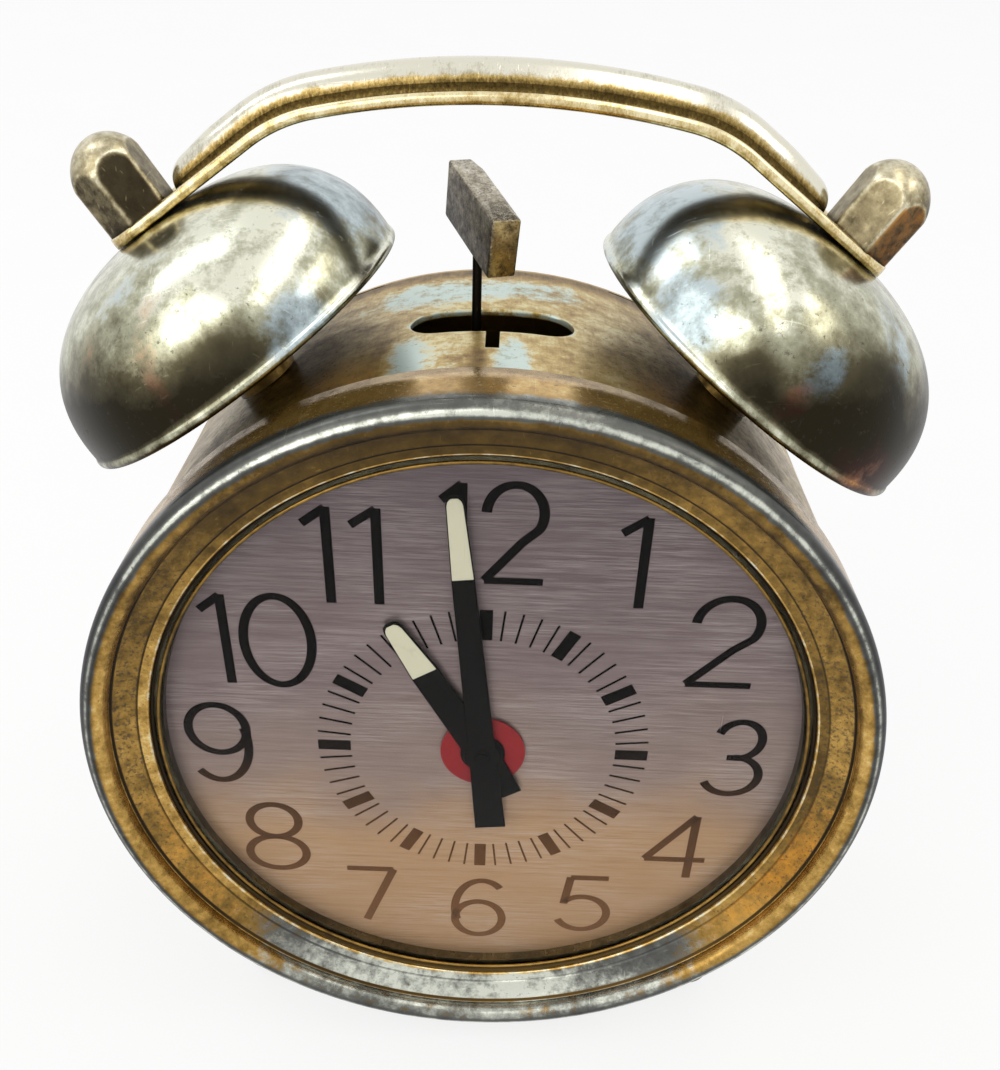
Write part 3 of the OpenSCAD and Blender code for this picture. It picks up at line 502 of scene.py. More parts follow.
class Bench:
    """The node tree of one material, or of the world."""

    def __init__(self, name: str, world: bool = False) -> None:
        """Makes an empty material, or an empty world.

        Args:
            name: Its name.
            world: True for a world.
        """
        self.owner = (bpy.data.worlds if world else bpy.data.materials).new(name)
        self.owner.use_nodes = True
        self.tree = self.owner.node_tree
        self.tree.nodes.clear()
        self.end = "ShaderNodeOutputWorld" if world else "ShaderNodeOutputMaterial"

    def feed(self, socket: bpy.types.NodeSocket, value: object) -> None:
        """Links a wire to a socket, or sets the socket's own value.

        Args:
            socket: The socket.
            value: A wire, a number, a vector or a colour code.
        """
        if isinstance(value, Wire):
            self.tree.links.new(value.socket, socket)
        else:
            socket.default_value = paint(value) if isinstance(value, str) else value

    def add(self, kind: str, settings: dict, inputs: dict) -> bpy.types.Node:
        """Adds a node of any type.

        Args:
            kind: The node's type, such as "ShaderNodeTexNoise".
            settings: The node's own settings, set first. "stops" gives a ramp's stops.
            inputs: Values or wires by the input's name or number.

        Returns:
            The node.
        """
        made = self.tree.nodes.new(kind)
        for name, value in settings.items():
            if name == "stops":
                self.set_stops(made.color_ramp, value)
            else:
                setattr(made, name, value)
        for name, value in inputs.items():
            self.feed(made.inputs[name], value)
        return made

    def node(self, kind: str, settings: dict, inputs: dict, output: object = 0) -> Wire:
        """Adds a node and gives its output of that name or number."""
        return Wire(self, self.add(kind, settings, inputs).outputs[output])

    @staticmethod
    def set_stops(ramp: bpy.types.ColorRamp, stops: list) -> None:
        """Gives a ramp its stops.

        Args:
            ramp: The ramp, which has two stops of its own.
            stops: Two or more pairs of a place and a colour code or a grey number.
        """
        while len(ramp.elements) < len(stops):
            ramp.elements.new(1.0)
        for element, (place, value) in zip(ramp.elements, stops):
            element.position = place
            element.color = paint(value) if isinstance(value, str) else (value, value, value, 1.0)

    def ramp(self, value: Wire, *stops: tuple) -> Wire:
        """A colour ramp on a value, with its stops from low to high."""
        return self.node("ShaderNodeValToRGB", {"stops": list(stops)}, {"Fac": value})

    def rise(self, value: Wire, low: float, high: float) -> Wire:
        """Goes from 0 where the value is low to 1 where it is high."""
        return self.ramp(value, (low, 0.0), (high, 1.0))

    def where(self) -> Wire:
        """The point on the piece, in metres."""
        return self.node("ShaderNodeTexCoord", {}, {}, "Object")

    def dial_height(self, place: Wire) -> Wire:
        """Height of a point on the dial, from 0 at its foot to 1 at its top."""
        height = self.node("ShaderNodeSeparateXYZ", {}, {"Vector": place}, "Z")
        return (height - DIAL_FOOT) * (1 / DIAL_SPAN)

    def stretched(self, place: Wire, scale: tuple, turn: tuple = (0.0, 0.0, 0.0)) -> Wire:
        """Turns and stretches a pattern's coordinates."""
        inputs = {"Vector": place, "Rotation": turn, "Scale": scale}
        return self.node("ShaderNodeMapping", {}, inputs)

    def noise(self, place: Wire, scale: float, detail: float = 3.0, rough: float = 0.55) -> Wire:
        """Cloudy noise about 0.5, with so many lumps per metre."""
        inputs = {"Vector": place, "Scale": scale, "Detail": detail, "Roughness": rough}
        return self.node("ShaderNodeTexNoise", {}, inputs)

    def streaks(
        self, place: Wire, scale: tuple, turn: tuple = (0.0, 0.0, 0.0),
        detail: float = 2.0, rough: float = 0.55,
    ) -> Wire:
        """Noise drawn out into streaks, with so many lumps per metre along each turned axis."""
        return self.noise(self.stretched(place, scale, turn), 1.0, detail, rough)

    def mark(self, name: str) -> Wire:
        """A number that the piece's points carry."""
        return self.node("ShaderNodeAttribute", {"attribute_name": name}, {}, "Fac")

    def mix(self, factor: object, low: object, high: object) -> Wire:
        """Mixes two colours, each a wire or a colour code."""
        return self.node("ShaderNodeMix", {"data_type": "RGBA"}, {0: factor, 6: low, 7: high}, 2)

    def bump(self, height: Wire, depth: float) -> Wire:
        """A normal from a height of 0 to 1, which stands for so many mm."""
        return self.node("ShaderNodeBump", {}, {"Height": height, "Distance": depth * MM})

    def backdrop_rays(self) -> Wire:
        """1 for rays that may see a backdrop: straight, in reflections and through glass."""
        names = ("Is Camera Ray", "Is Glossy Ray", "Is Transmission Ray")
        seen, mirrored_in, passed = (self.node("ShaderNodeLightPath", {}, {}, n) for n in names)
        return (seen + mirrored_in + passed).limited()

    def surface(self, inputs: dict) -> Wire:
        """The main shader, with its inputs."""
        return self.node("ShaderNodeBsdfPrincipled", {}, inputs)

    def done(self, shader: Wire) -> bpy.types.ID:
        """Ends the tree with that shader and gives the material or world."""
        self.add(self.end, {}, {"Surface": shader})
        return self.owner


# Finishes


@dataclass(frozen=True)
class WornMetal:
    """Metal with a cloudy tone, pits, hair scratches and stains.

    Its pieces' points may carry marks from 0 to 1: dim where the metal is darkened by tarnish
    and where painted shade and painted dark reflections lie, glow where it is rubbed bright and
    where painted highlights lie, warm where copper shows, cool where plating is left and where a
    painted reflection of the sky lies, and pitted where the pits are dense. Painted light by the
    piece's normal: what faces up is lightened and what faces down is darkened.
    """

    name: str
    shades: tuple[str, str, str, str, str]
    warm: tuple[str, str, str] = ("#3a1d10", "#8a5426", "#c98f4e")
    cool: tuple[str, str, str] = ("#3c4246", "#8b9496", "#d3dad9")
    speck: str = "#2b2317"
    clouds: float = 60.0
    mottles: float = 420.0
    grain: float = 2600.0
    cloudy: float = 0.9
    mottled: float = 0.5
    shading: float = 0.22
    level: float = 0.5
    pit_from: float = 0.64
    scratch: float = 0.22
    smooth: float = 0.16
    rough: float = 0.42
    relief: float = 0.01
    waves: float = 0.25
    brush: float = 0.0
    metallic: float = 1.0
    pit_scale: float = 3.6
    pit_step: float = 0.12

    def scratches(self, bench: Bench, place: Wire) -> Wire:
        """Hair scratches in two directions.

        Args:
            bench: The material's node tree.
            place: The point on the piece.

        Returns:
            1 on a scratch and 0 beside it.
        """
        lines = bench.streaks(place, (60.0, 4200.0, 900.0), (0.3, 0.2, 0.5))
        cross = bench.streaks(place, (3900.0, 80.0, 700.0), (0.1, -0.4, 0.9))
        return (bench.rise(lines, 0.66, 0.74) + bench.rise(cross, 0.68, 0.75)).limited()

    def tone(self, bench: Bench, place: Wire, small: Wire, scratches: Wire) -> Wire:
        """How bright the metal is, from painted light on what faces up, its clouds and its marks.

        Args:
            bench: The material's node tree.
            place: The point on the piece.
            small: The fine mottling.
            scratches: The hair scratches.

        Returns:
            The tone, from 0 for the deepest shade to 1 for the brightest.
        """
        large = bench.rise(bench.noise(place, self.clouds, 5.0, 0.62), 0.3, 0.7)
        # Painted light: what faces the painted light is lightened, what faces away is darkened.
        normal = bench.node("ShaderNodeTexCoord", {}, {}, "Normal")
        lift = bench.node(
            "ShaderNodeVectorMath", {"operation": "DOT_PRODUCT"}, {0: normal, 1: PAINTED_LIGHT_FROM}, "Value"
        )
        tone = self.level + (lift - 0.25) * self.shading + (large - 0.5) * self.cloudy
        tone = tone + (small - 0.5) * self.mottled
        # Glow: wear and painted highlights. Dim: tarnish, painted shade, painted dark reflections.
        tone = tone + bench.mark("glow") * (0.2 + small * 0.4)
        tone = tone - bench.mark("dim") * (0.26 + small * 0.38 + large * 0.2)
        if self.brush:
            strokes = bench.streaks(place, (4200.0, 120.0, 3000.0), detail=4.0, rough=0.7)
            tone = tone + bench.ramp(strokes, (0.3, -self.brush), (0.7, self.brush))
        return (tone + scratches * self.scratch * 0.5).limited()

    def colour(self, bench: Bench, tone: Wire, small: Wire) -> Wire:
        """The metal's colour from its tone, with copper and plating by the marks.

        Args:
            bench: The material's node tree.
            tone: The tone, from 0 for the deepest shade to 1 for the brightest.
            small: The fine mottling, which breaks up the edges of the stains.

        Returns:
            The colour.
        """
        places = (0.0, 0.27, 0.5, 0.73, 1.0)
        base = bench.ramp(tone, *zip(places, self.shades))
        copper = bench.ramp(tone, *zip((0.1, 0.45, 0.85), self.warm))
        plating = bench.ramp(tone, *zip((0.1, 0.5, 0.9), self.cool))
        broken = (small - 0.5) * 0.8 - 0.4
        plated = bench.ramp(bench.mark("cool") * 1.4 + broken, (0.1, 0.0), (0.6, 1.0))
        coppered = bench.ramp(bench.mark("warm") * 1.3 + broken, (0.05, 0.0), (0.8, 1.0))
        return bench.mix(coppered, bench.mix(plated, base, plating), copper)

    def material(self) -> bpy.types.Material:
        """Builds the metal."""
        bench = Bench(self.name)
        place = bench.where()
        small = bench.rise(bench.noise(place, self.mottles, 6.0, 0.7), 0.32, 0.68)
        pits = bench.noise(place, self.mottles * self.pit_scale, 4.0, 0.68)
        pits = pits + bench.mark("pitted") * 0.11
        specks = bench.rise(pits, self.pit_from, self.pit_from + self.pit_step)
        scratches = self.scratches(bench, place)
        tone = self.tone(bench, place, small, scratches)
        gloss = self.smooth + (self.rough - self.smooth) * (0.95 - tone * 1.3).limited()
        gloss = gloss + specks * 0.15 + scratches * 0.06
        waves = bench.bump(bench.noise(place, 55.0, 1.0), self.waves)
        fine = bench.noise(place, self.grain, 3.0)
        height = small * 0.45 + fine * 0.3 - specks * 0.5 - scratches * 0.4
        relief = {"Height": height, "Distance": self.relief * MM, "Normal": waves}
        inputs = {
            "Base Color": bench.mix(specks * 0.7, self.colour(bench, tone, small), self.speck),
            "Metallic": (self.metallic - specks * 0.4).limited(),
            "Roughness": gloss.limited(),
            "Normal": bench.node("ShaderNodeBump", {}, relief),
        }
        return bench.done(bench.surface(inputs))


@dataclass(frozen=True)
class BrushedDial:
    """Lacquered aluminium, brushed level, mauve above and tan below."""

    name: str = "brushed_dial"
    shades: tuple[tuple[float, str], ...] = (
        (0.05, "#b8926a"), (0.3, "#b8946e"), (0.46, "#95827b"), (0.64, "#807071"),
        (0.95, "#6a5d62"),
    )
    bright: str = "#d9d2d0"
    dark: str = "#453b3a"
    metallic: float = 0.6
    smooth: float = 0.34
    relief: float = 0.012

    def material(self) -> bpy.types.Material:
        """Builds the dial's metal: the tint follows the height, and the streaks run along X."""
        bench = Bench(self.name)
        place = bench.where()
        cloud = bench.noise(place, 40.0, 3.0)
        tint = bench.ramp(bench.dial_height(place) + (cloud - 0.5) * 0.3, *self.shades)
        coarse = bench.streaks(place, (60.0, 900.0, 2600.0), detail=5.0, rough=0.75)
        fine = bench.streaks(place, (220.0, 900.0, 9000.0), detail=3.0, rough=0.7)
        lines = coarse * 0.55 + fine * 0.45
        patch = bench.noise(bench.stretched(place, (1.0, 1.0, 1.6)), 52.0, 2.0)
        patch = bench.ramp(patch, (0.42, 0.1), (0.66, 1.0))
        silver = bench.rise(lines, 0.46, 0.66) * (0.12 + patch * 0.42)
        shadow = bench.ramp(lines, (0.32, 1.0), (0.48, 0.0)) * 0.3
        colour = bench.mix(silver.limited(), tint, self.bright)
        inputs = {
            "Base Color": bench.mix(shadow, colour, self.dark),
            "Metallic": self.metallic,
            "Roughness": (self.smooth + lines * 0.22).limited(),
            "Normal": bench.bump(lines, self.relief),
        }
        return bench.done(bench.surface(inputs))


@dataclass(frozen=True)
class Ink:
    """Printed ink of the dial, black above and faded to brown below."""

    name: str = "dial_ink"
    shades: tuple[tuple[float, str], ...] = (
        (0.1, "#704c2c"), (0.34, "#553a24"), (0.47, "#1a1310"), (0.6, "#070606"),
    )
    thin: str = "#5a4a40"
    smooth: float = 0.5
    shine: float = 0.03
    relief: float = 0.01

    def material(self) -> bpy.types.Material:
        """Builds the ink: its colour follows the height, and it is thin in specks."""
        bench = Bench(self.name)
        place = bench.where()
        tint = bench.ramp(bench.dial_height(place), *self.shades)
        worn = bench.noise(place, 2500.0, 4.0)
        inputs = {
            "Base Color": bench.mix(bench.rise(worn, 0.6, 0.74) * 0.2, tint, self.thin),
            "Roughness": (self.smooth + worn * 0.2).limited(),
            "Specular IOR Level": self.shine,
            "Normal": bench.bump(worn, self.relief),
        }
        return bench.done(bench.surface(inputs))


@dataclass(frozen=True)
class Paint:
    """Paint on metal or a moulded colour, with cloudy tone, scuffs and slight relief."""

    name: str
    tone: str
    scuff: str
    gloss: float = 0.35
    scuffs: float = 0.3
    grain: float = 1500.0
    shine: float = 0.5
    relief: float = 0.012

    def material(self) -> bpy.types.Material:
        """Builds the paint."""
        bench = Bench(self.name)
        place = bench.where()
        cloud = bench.noise(place, 220.0, 5.0, 0.65)
        grain = bench.noise(place, self.grain, 4.0, 0.6)
        lines = bench.streaks(place, (3000.0, 600.0, 90.0), (0.2, 0.1, 0.6))
        scuffed = bench.rise(lines, 0.64, 0.74) * 0.7 + bench.rise(cloud, 0.55, 0.75)
        inputs = {
            "Base Color": bench.mix((scuffed * self.scuffs).limited(), self.tone, self.scuff),
            "Roughness": (self.gloss + grain * 0.15 + scuffed * 0.1).limited(),
            "Specular IOR Level": self.shine,
            "Normal": bench.bump(grain * 0.6 + cloud * 0.4, self.relief),
        }
        return bench.done(bench.surface(inputs))


@dataclass(frozen=True)
class Crystal:
    """Clear acrylic with a few hair scratches, which lets lamps light what is behind it."""

    name: str = "clear_crystal"
    tint: str = "#f4f3f1"
    shade: str = "#f2f1ee"
    bend: float = 1.14
    smooth: float = 0.015
    relief: float = 0.02

    def material(self) -> bpy.types.Material:
        """Builds the acrylic: rays from lamps pass straight through it."""
        bench = Bench(self.name)
        place = bench.where()
        lines = bench.streaks(place, (2600.0, 300.0, 45.0), (0.0, 0.7, 0.0))
        cross = bench.streaks(place, (1900.0, 300.0, 60.0), (0.0, -0.9, 0.0))
        scratches = bench.rise(lines, 0.72, 0.76) + bench.rise(cross, 0.73, 0.77)
        inputs = {
            "Base Color": self.tint,
            "Roughness": (self.smooth + scratches * 0.16).limited(),
            "IOR": self.bend,
            "Transmission Weight": 1.0,
            "Normal": bench.bump(bench.noise(place, 90.0, 1.0), self.relief),
        }
        clear = bench.node("ShaderNodeBsdfTransparent", {}, {"Color": self.shade})
        lamp = bench.node("ShaderNodeLightPath", {}, {}, "Is Shadow Ray")
        shaders = {0: lamp, 1: bench.surface(inputs), 2: clear}
        return bench.done(bench.node("ShaderNodeMixShader", {}, shaders))


class Finish(Enum):
    """The clock's finishes."""

    DRUM = WornMetal(
        "drum_brass", ("#2a1f0c", "#5c461b", "#957434", "#bf9f52", "#e6d69c"),
        warm=("#3a240d", "#83581f", "#c49140"), cool=("#56604f", "#98a68f", "#cfe0d8"),
        clouds=75.0, mottles=470.0, cloudy=0.3, mottled=0.44, shading=0.2, level=0.52,
        pit_from=0.61, smooth=0.3, rough=0.52, brush=0.12, metallic=0.62, relief=0.012, waves=0.35,
    )
    BEZEL = WornMetal(
        "bezel_brass", ("#251b0d", "#5a451f", "#967538", "#c49d54", "#ecd28f"),
        warm=("#3f240c", "#9a6420", "#d99c3c"), cool=("#212226", "#646560", "#d3d6c9"),
        clouds=85.0, mottles=460.0, cloudy=0.26, mottled=0.34, shading=0.22, level=0.52,
        pit_from=0.61, smooth=0.2, metallic=0.82, relief=0.012, waves=0.2,
    )
    BELL = WornMetal(
        "bell_nickel", ("#29251b", "#4f4a38", "#83806a", "#adad95", "#e4e4d2"),
        warm=("#35201a", "#74503c", "#bd8a54"), cool=("#3b4246", "#7f8b8e", "#c0cdd0"),
        clouds=65.0, mottles=340.0, cloudy=0.34, mottled=0.46, shading=0.75, level=0.37,
        pit_from=0.64, smooth=0.2, rough=0.4, waves=0.7,
    )
    NUT = WornMetal(
        "nut_bronze", ("#1a160f", "#443c2c", "#7d7257", "#a99e7e", "#dad2b6"),
        warm=("#33200f", "#84592b", "#b58549"), clouds=160.0, mottles=700.0, grain=4200.0,
        cloudy=0.3, mottled=0.3, shading=0.3, level=0.44, smooth=0.28, rough=0.5, relief=0.02,
        waves=0.05, scratch=0.4,
    )
    HANDLE = WornMetal(
        "handle_plating", ("#251c0c", "#5d4c28", "#9e8650", "#cbb47e", "#efe2b8"),
        cool=("#5f594a", "#a8a28b", "#e0dccb"), clouds=90.0, mottles=520.0, grain=3000.0,
        cloudy=0.3, mottled=0.3, shading=0.3, level=0.47, pit_from=0.68, smooth=0.2,
        relief=0.014, waves=0.15, scratch=0.35, brush=0.3,
    )
    # Dark brass as painted shade: posts and legs darkened to read as the shade under the bells.
    POST = WornMetal(
        "post_brass", ("#17110a", "#372a15", "#64502a", "#937843", "#c9ab70"), clouds=150.0,
        mottles=700.0, grain=3600.0, cloudy=0.3, mottled=0.3, shading=0.4, level=0.4, smooth=0.26,
        waves=0.0,
    )
    HAMMER = WornMetal(
        "hammer_steel", ("#1e1a16", "#453d33", "#7b7161", "#aaa08c", "#d6cfbd"),
        warm=("#3d2f18", "#86724a", "#b7a271"), clouds=190.0, mottles=900.0, grain=4800.0,
        cloudy=0.35, mottled=0.4, shading=0.35, level=0.46, pit_from=0.61, smooth=0.3, rough=0.5,
        relief=0.03, waves=0.0, scratch=0.6,
    )
    RING = WornMetal(
        "ring_bronze", ("#14120e", "#33302a", "#55513f", "#7d7862", "#b7b199"), clouds=120.0,
        mottles=500.0, cloudy=0.3, mottled=0.2, shading=0.2, level=0.45, pit_from=0.7, smooth=0.25,
        waves=0.0,
    )
    BACK = WornMetal(
        "back_brass", ("#3a2b12", "#6d5526", "#9c7d3e", "#c2a25a", "#e4d298"), clouds=50.0,
        mottles=500.0, cloudy=0.16, mottled=0.14, shading=0.15, level=0.5, pit_from=0.66,
        smooth=0.26, rough=0.46, waves=0.3, scratch=0.3,
    )
    KEY = WornMetal(
        "key_brass", ("#3a2b12", "#735926", "#ab8742", "#d2b067", "#f0dc9e"), clouds=150.0,
        mottles=800.0, grain=4200.0, cloudy=0.16, mottled=0.16, shading=0.25, level=0.54,
        pit_from=0.67, smooth=0.22, rough=0.42, relief=0.008, waves=0.0, scratch=0.35,
    )
    MOVEMENT = WornMetal(
        "movement_brass", ("#4a3716", "#8d6c31", "#b8924c", "#dcb974", "#f1d99c"), clouds=180.0,
        mottles=900.0, grain=5200.0, cloudy=0.2, mottled=0.15, shading=0.15, pit_from=0.69,
        smooth=0.2, rough=0.34, relief=0.006, waves=0.0, scratch=0.35,
    )
    STEEL = WornMetal(
        "bright_steel", ("#35332f", "#6b6963", "#97958f", "#c4c3be", "#e6e5e0"), clouds=200.0,
        mottles=900.0, grain=5200.0, cloudy=0.2, mottled=0.15, shading=0.15, pit_from=0.68,
        smooth=0.22, rough=0.38, relief=0.006, waves=0.0, scratch=0.4,
    )
    SPRING = WornMetal(
        "blued_spring", ("#15171c", "#2c313b", "#4b5566", "#6f7d92", "#9dabc0"), clouds=160.0,
        mottles=700.0, grain=4200.0, cloudy=0.2, mottled=0.15, shading=0.15, pit_from=0.69,
        smooth=0.2, rough=0.35, relief=0.006, waves=0.0, scratch=0.3,
    )
    DIAL = BrushedDial()
    INK = Ink()
    BLACK = Paint("black_lacquer", "#050404", "#2b2825", 0.4, 0.1, shine=0.09)
    LUME = Paint("luminous_cream", "#d3d2bb", "#a7a184", 0.6, 0.5, 3200.0)
    RED = Paint("red_lacquer", "#8c1f25", "#4f1014", 0.35, 0.5, shine=0.2)
    CRYSTAL = Crystal()


@cache
def material_of(finish: Finish) -> bpy.types.Material:
    """The finish's material, made once."""
    return finish.value.material()


@dataclass(frozen=True)
class Piece:
    """What a finished piece is called, wears, rides on and stands for."""

    name: str
    finish: Finish
    body: str
    slot: str
    stands_for: tuple[str, ...] = ()
    sharp_angle: float = 38.0

    def make(self, patch: Patch) -> bpy.types.Object:
        """Turns a patch in the case's frame into a finished piece on its body.

        The points are turned into the row's frame, doubles are merged, so that seams and poles
        close, and the faces are turned outwards.

        Args:
            patch: The piece's surface, in mm.

        Returns:
            The piece.
        """
        mesh = bpy.data.meshes.new(self.name)
        count = len(patch.quads)
        mesh.vertices.add(len(patch.points))
        mesh.vertices.foreach_set("co", LEAN.row(patch.points).astype(np.float32).ravel())
        mesh.loops.add(4 * count)
        mesh.loops.foreach_set("vertex_index", patch.quads.astype(np.int32).ravel())
        mesh.polygons.add(count)
        mesh.polygons.foreach_set("loop_start", np.arange(0, 4 * count, 4, dtype=np.int32))
        for name, values in patch.marks.items():
            attribute = mesh.attributes.new(name, "FLOAT", "POINT")
            attribute.data.foreach_set("value", values.astype(np.float32))
        mesh.update(calc_edges=True)
        self.weld(mesh)
        mesh.shade_smooth()
        mesh.set_sharp_from_angle(angle=math.radians(self.sharp_angle))
        mesh.materials.append(material_of(self.finish))
        made = put_in_scene(self.name, mesh)
        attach(made, self.body)
        if self.stands_for:
            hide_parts(*self.stands_for)
        LOG.info("%s: %d faces on %s", self.name, len(mesh.polygons), self.body)
        return made

    @staticmethod
    def weld(mesh: bpy.types.Mesh) -> None:
        """Merges points that coincide and turns the faces outwards."""
        work = bmesh.new()
        work.from_mesh(mesh)
        bmesh.ops.remove_doubles(work, verts=work.verts, dist=2e-6)
        bmesh.ops.dissolve_degenerate(work, edges=work.edges, dist=1e-7)
        bmesh.ops.recalc_face_normals(work, faces=work.faces)
        work.to_mesh(mesh)
        work.free()


def dress(finish: Finish, *nodes: str) -> None:
    """Gives CAD nodes that stay a finish.

    Args:
        finish: The finish.
        *nodes: Names of the nodes.
    """
    for name in nodes:
        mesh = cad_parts[name].data
        mesh.materials.clear()
        mesh.materials.append(material_of(finish))
        LOG.info("%s: %s", name, finish.name.lower())


# Sub-assemblies


@dataclass(frozen=True)
class Drum:
    """The sheet-metal drum with the hammer's slot in its top."""

    outer: float = 54.1
    wall: float = 0.8
    front: float = -1.5
    back: float = 41.0
    slot_at: tuple[float, float] = (-0.5, 20.4)
    slot_half: float = 6.5
    slot_round: float = 3.9
    notch_x: float = -0.35
    notch_half: float = 0.85
    notch_front: float = 10.9
    window: float = 16.0
    rays: int = 300
    rings: int = 22
    round_steps: int = 150
    # Patches round the slot paint reflections of sky, handle and hammer; pits are tarnish.
    tint_patches: tuple[TintPatch, ...] = tint_patches_of(
        cool=(
            (-9.0, 32.0, 10.0, 6.0, 0, 0.8), (6.0, 33.0, 8.0, 5.0, 0, 0.6),
            (-10.5, 8.0, 2.6, 9.0, 0, 0.9), (-5.5, 8.0, 2.4, 9.0, 0, 0.4),
            (2.2, 7.0, 2.4, 7.5, 0, 1.0),
        ),
        glow=(
            (-10.5, 8.0, 2.6, 10.0, 0, 0.6), (2.2, 7.0, 2.4, 7.0, 0, 0.9),
            (-6.0, 12.0, 5.0, 14.0, 0, 0.35), (-6.0, 31.0, 14.0, 7.0, 0, 0.45),
            (14.0, 24.0, 6.0, 5.0, 0, 0.4), (19.0, 7.0, 5.0, 6.0, -10, 0.4),
            (-19.0, 8.0, 5.0, 6.0, 10, 0.35),
        ),
        warm=(
            (-19.0, 7.0, 6.0, 8.0, 10, 0.8), (21.0, 8.0, 6.0, 7.0, -10, 0.9),
            (-52.0, 14.0, 11.0, 18.0, 0, 0.5),
        ),
        dim=(
            (-25.0, 14.0, 6.0, 9.0, 0, 0.5), (-14.5, 8.0, 1.6, 9.0, 0, 0.45),
            (-2.0, 5.0, 1.1, 7.0, 0, 0.6), (26.0, 16.0, 5.0, 10.0, 0, 0.5),
            (0.0, 40.0, 80.0, 2.2, 0, 0.7),
        ),
        pitted=(
            (27.0, 12.0, 15.0, 18.0, 0, 0.8), (-30.0, 12.0, 14.0, 18.0, 0, 0.8),
            (70.0, 20.0, 25.0, 25.0, 0, 0.7), (-80.0, 20.0, 25.0, 25.0, 0, 0.7),
        ),
    )

    def slot_reach(self, angles: Array) -> Array:
        """Distance from the middle of the notch's line to the slot's edge along each ray.

        The slot is a stadium joined with the notch's rectangle, so the edge is the farther of
        the two exits. A ray leaves the stadium through a level side where that point lies
        between the round ends, and through the nearer round end elsewhere.

        Args:
            angles: Angles of the rays from +X towards +Y.

        Returns:
            The distances, in mm.
        """
        across, along = np.cos(angles), np.sin(angles)
        steep, flat = np.maximum(np.abs(along), TINY), np.maximum(np.abs(across), TINY)
        offset = self.notch_x - self.slot_at[0]
        level = self.slot_round / steep
        meets = np.abs(offset + level * across) <= self.slot_half
        end = np.sign(across) * self.slot_half - offset
        inward = end * across
        curved = inward + np.sqrt(np.maximum(inward**2 - end**2 + self.slot_round**2, 0))
        stadium = np.where(meets, level, curved)
        depth = np.where(along < 0, self.slot_at[1] - self.notch_front, 0.1)
        return np.maximum(stadium, np.minimum(self.notch_half / flat, depth / steep))

    def window_reach(self, angles: Array) -> Array:
        """Distance along each ray to the window's rectangle, which spans the drum's depth.

        Args:
            angles: Angles of the rays from +X towards +Y.

        Returns:
            The distances, in mm.
        """
        across, along = np.abs(np.cos(angles)), np.sin(angles)
        depth = np.where(along < 0, self.slot_at[1] - self.front, self.back - self.slot_at[1])
        side = self.window / np.maximum(across, TINY)
        return np.minimum(side, depth / np.maximum(np.abs(along), TINY))

    def ray_angles(self) -> Array:
        """Angles of the rays, even all round and the same to the left and right.

        Returns:
            The angles, exact at every corner of the window and slot and dense in the notch.
        """
        y = self.slot_at[1]
        straight = self.slot_half - 0.15
        notch = math.atan2(self.notch_front - y, self.notch_half)
        corners = [
            math.atan2(self.front - y, self.window),
            math.atan2(self.back - y, self.window),
            math.atan2(-self.slot_round, self.notch_half),
            math.atan2(self.slot_round, straight),
            math.atan2(-self.slot_round, straight),
            notch,
        ]
        even = np.linspace(-math.pi / 2, math.pi / 2, self.rays // 2 + 1)
        dense = np.linspace(-math.pi / 2, notch + 0.12, 24)
        right = np.unique(np.round(np.concatenate([even, corners, dense]), 7))
        left = (math.pi - right)[1:-1]
        return np.concatenate([right, left[::-1]])

    @staticmethod
    def wrap(x: Array, y: Array, radius: Array) -> Array:
        """Lays points of the flat plan on a cylinder: z is the root of radius^2 - x^2."""
        return np.stack([x, y, np.sqrt(np.maximum(radius**2 - x**2, 0))], axis=-1)

    def slot_patch(self) -> Patch:
        """The window round the slot: both walls of it, with the slot's edge rounded in.

        Rings of points run from the window's edge in to the slot on the outer wall, over the
        edge, and out again on the inner wall. Each lies at its share of the way along the rays.

        Returns:
            The patch, closed along the drum's two open ends.
        """
        angles = self.ray_angles()
        near, far = self.slot_reach(angles), self.window_reach(angles)
        inner = self.outer - self.wall
        share = np.linspace(1, 0, self.rings)[:, None] ** 1.6
        out_reach = (near + 0.25) + (far - near - 0.25) * share
        edge_reach = near + np.array([0.08, 0.0, 0.0, 0.06])[:, None]
        in_reach = (near + 0.2) + (far - near - 0.2) * share[::-1]
        reach = np.concatenate([out_reach, edge_reach, in_reach])
        drop = np.array([0.05, 0.22, self.wall - 0.2, self.wall - 0.04])
        ring = np.ones(self.rings)
        radius = np.concatenate([ring * self.outer, self.outer - drop, ring * inner])[:, None]
        x = self.notch_x + reach * np.cos(angles)
        y = self.slot_at[1] + reach * np.sin(angles)
        points = self.wrap(x, y, radius)
        rubbed = np.exp(-((reach - near) ** 2) / 0.25) * (radius > inner + 0.1)
        patch = grid(points, loop_cols=True, rubbed=rubbed)
        rim, last = y[0], (len(points) - 1) * len(angles)
        step = np.arange(len(angles))
        after = (step + 1) % len(angles)
        at_end = (np.abs(rim - self.front) < SAME) | (np.abs(rim - self.back) < SAME)
        level = (np.abs(rim - rim[after]) < SAME) & at_end
        step, after = step[level], after[level]
        ends = np.stack([step, after, after + last, step + last], axis=-1)
        return Patch(patch.points, np.concatenate([patch.quads, ends]), patch.marks)

    def rest_patch(self) -> Patch:
        """The drum from the window's right side round the bottom to its left side.

        Returns:
            The patch: its outer and inner wall, whose side rows match those of the window.
        """
        angles = self.ray_angles()
        side = angles[np.abs(self.window_reach(angles) * np.cos(angles) - self.window) < SAME]
        depth = self.slot_at[1] + self.window * np.tan(side)
        one = np.ones(len(depth))
        radius = np.concatenate([one * self.outer, one * (self.outer - self.wall)])
        depths = np.concatenate([depth, depth[::-1]])
        start = np.arcsin((self.notch_x + self.window) / radius)
        end = FULL_TURN - np.arcsin((self.window - self.notch_x) / radius)
        share = np.linspace(0, 1, self.round_steps)[:, None]
        return grid(about_y(radius, start + (end - start) * share, depths), loop_cols=True)

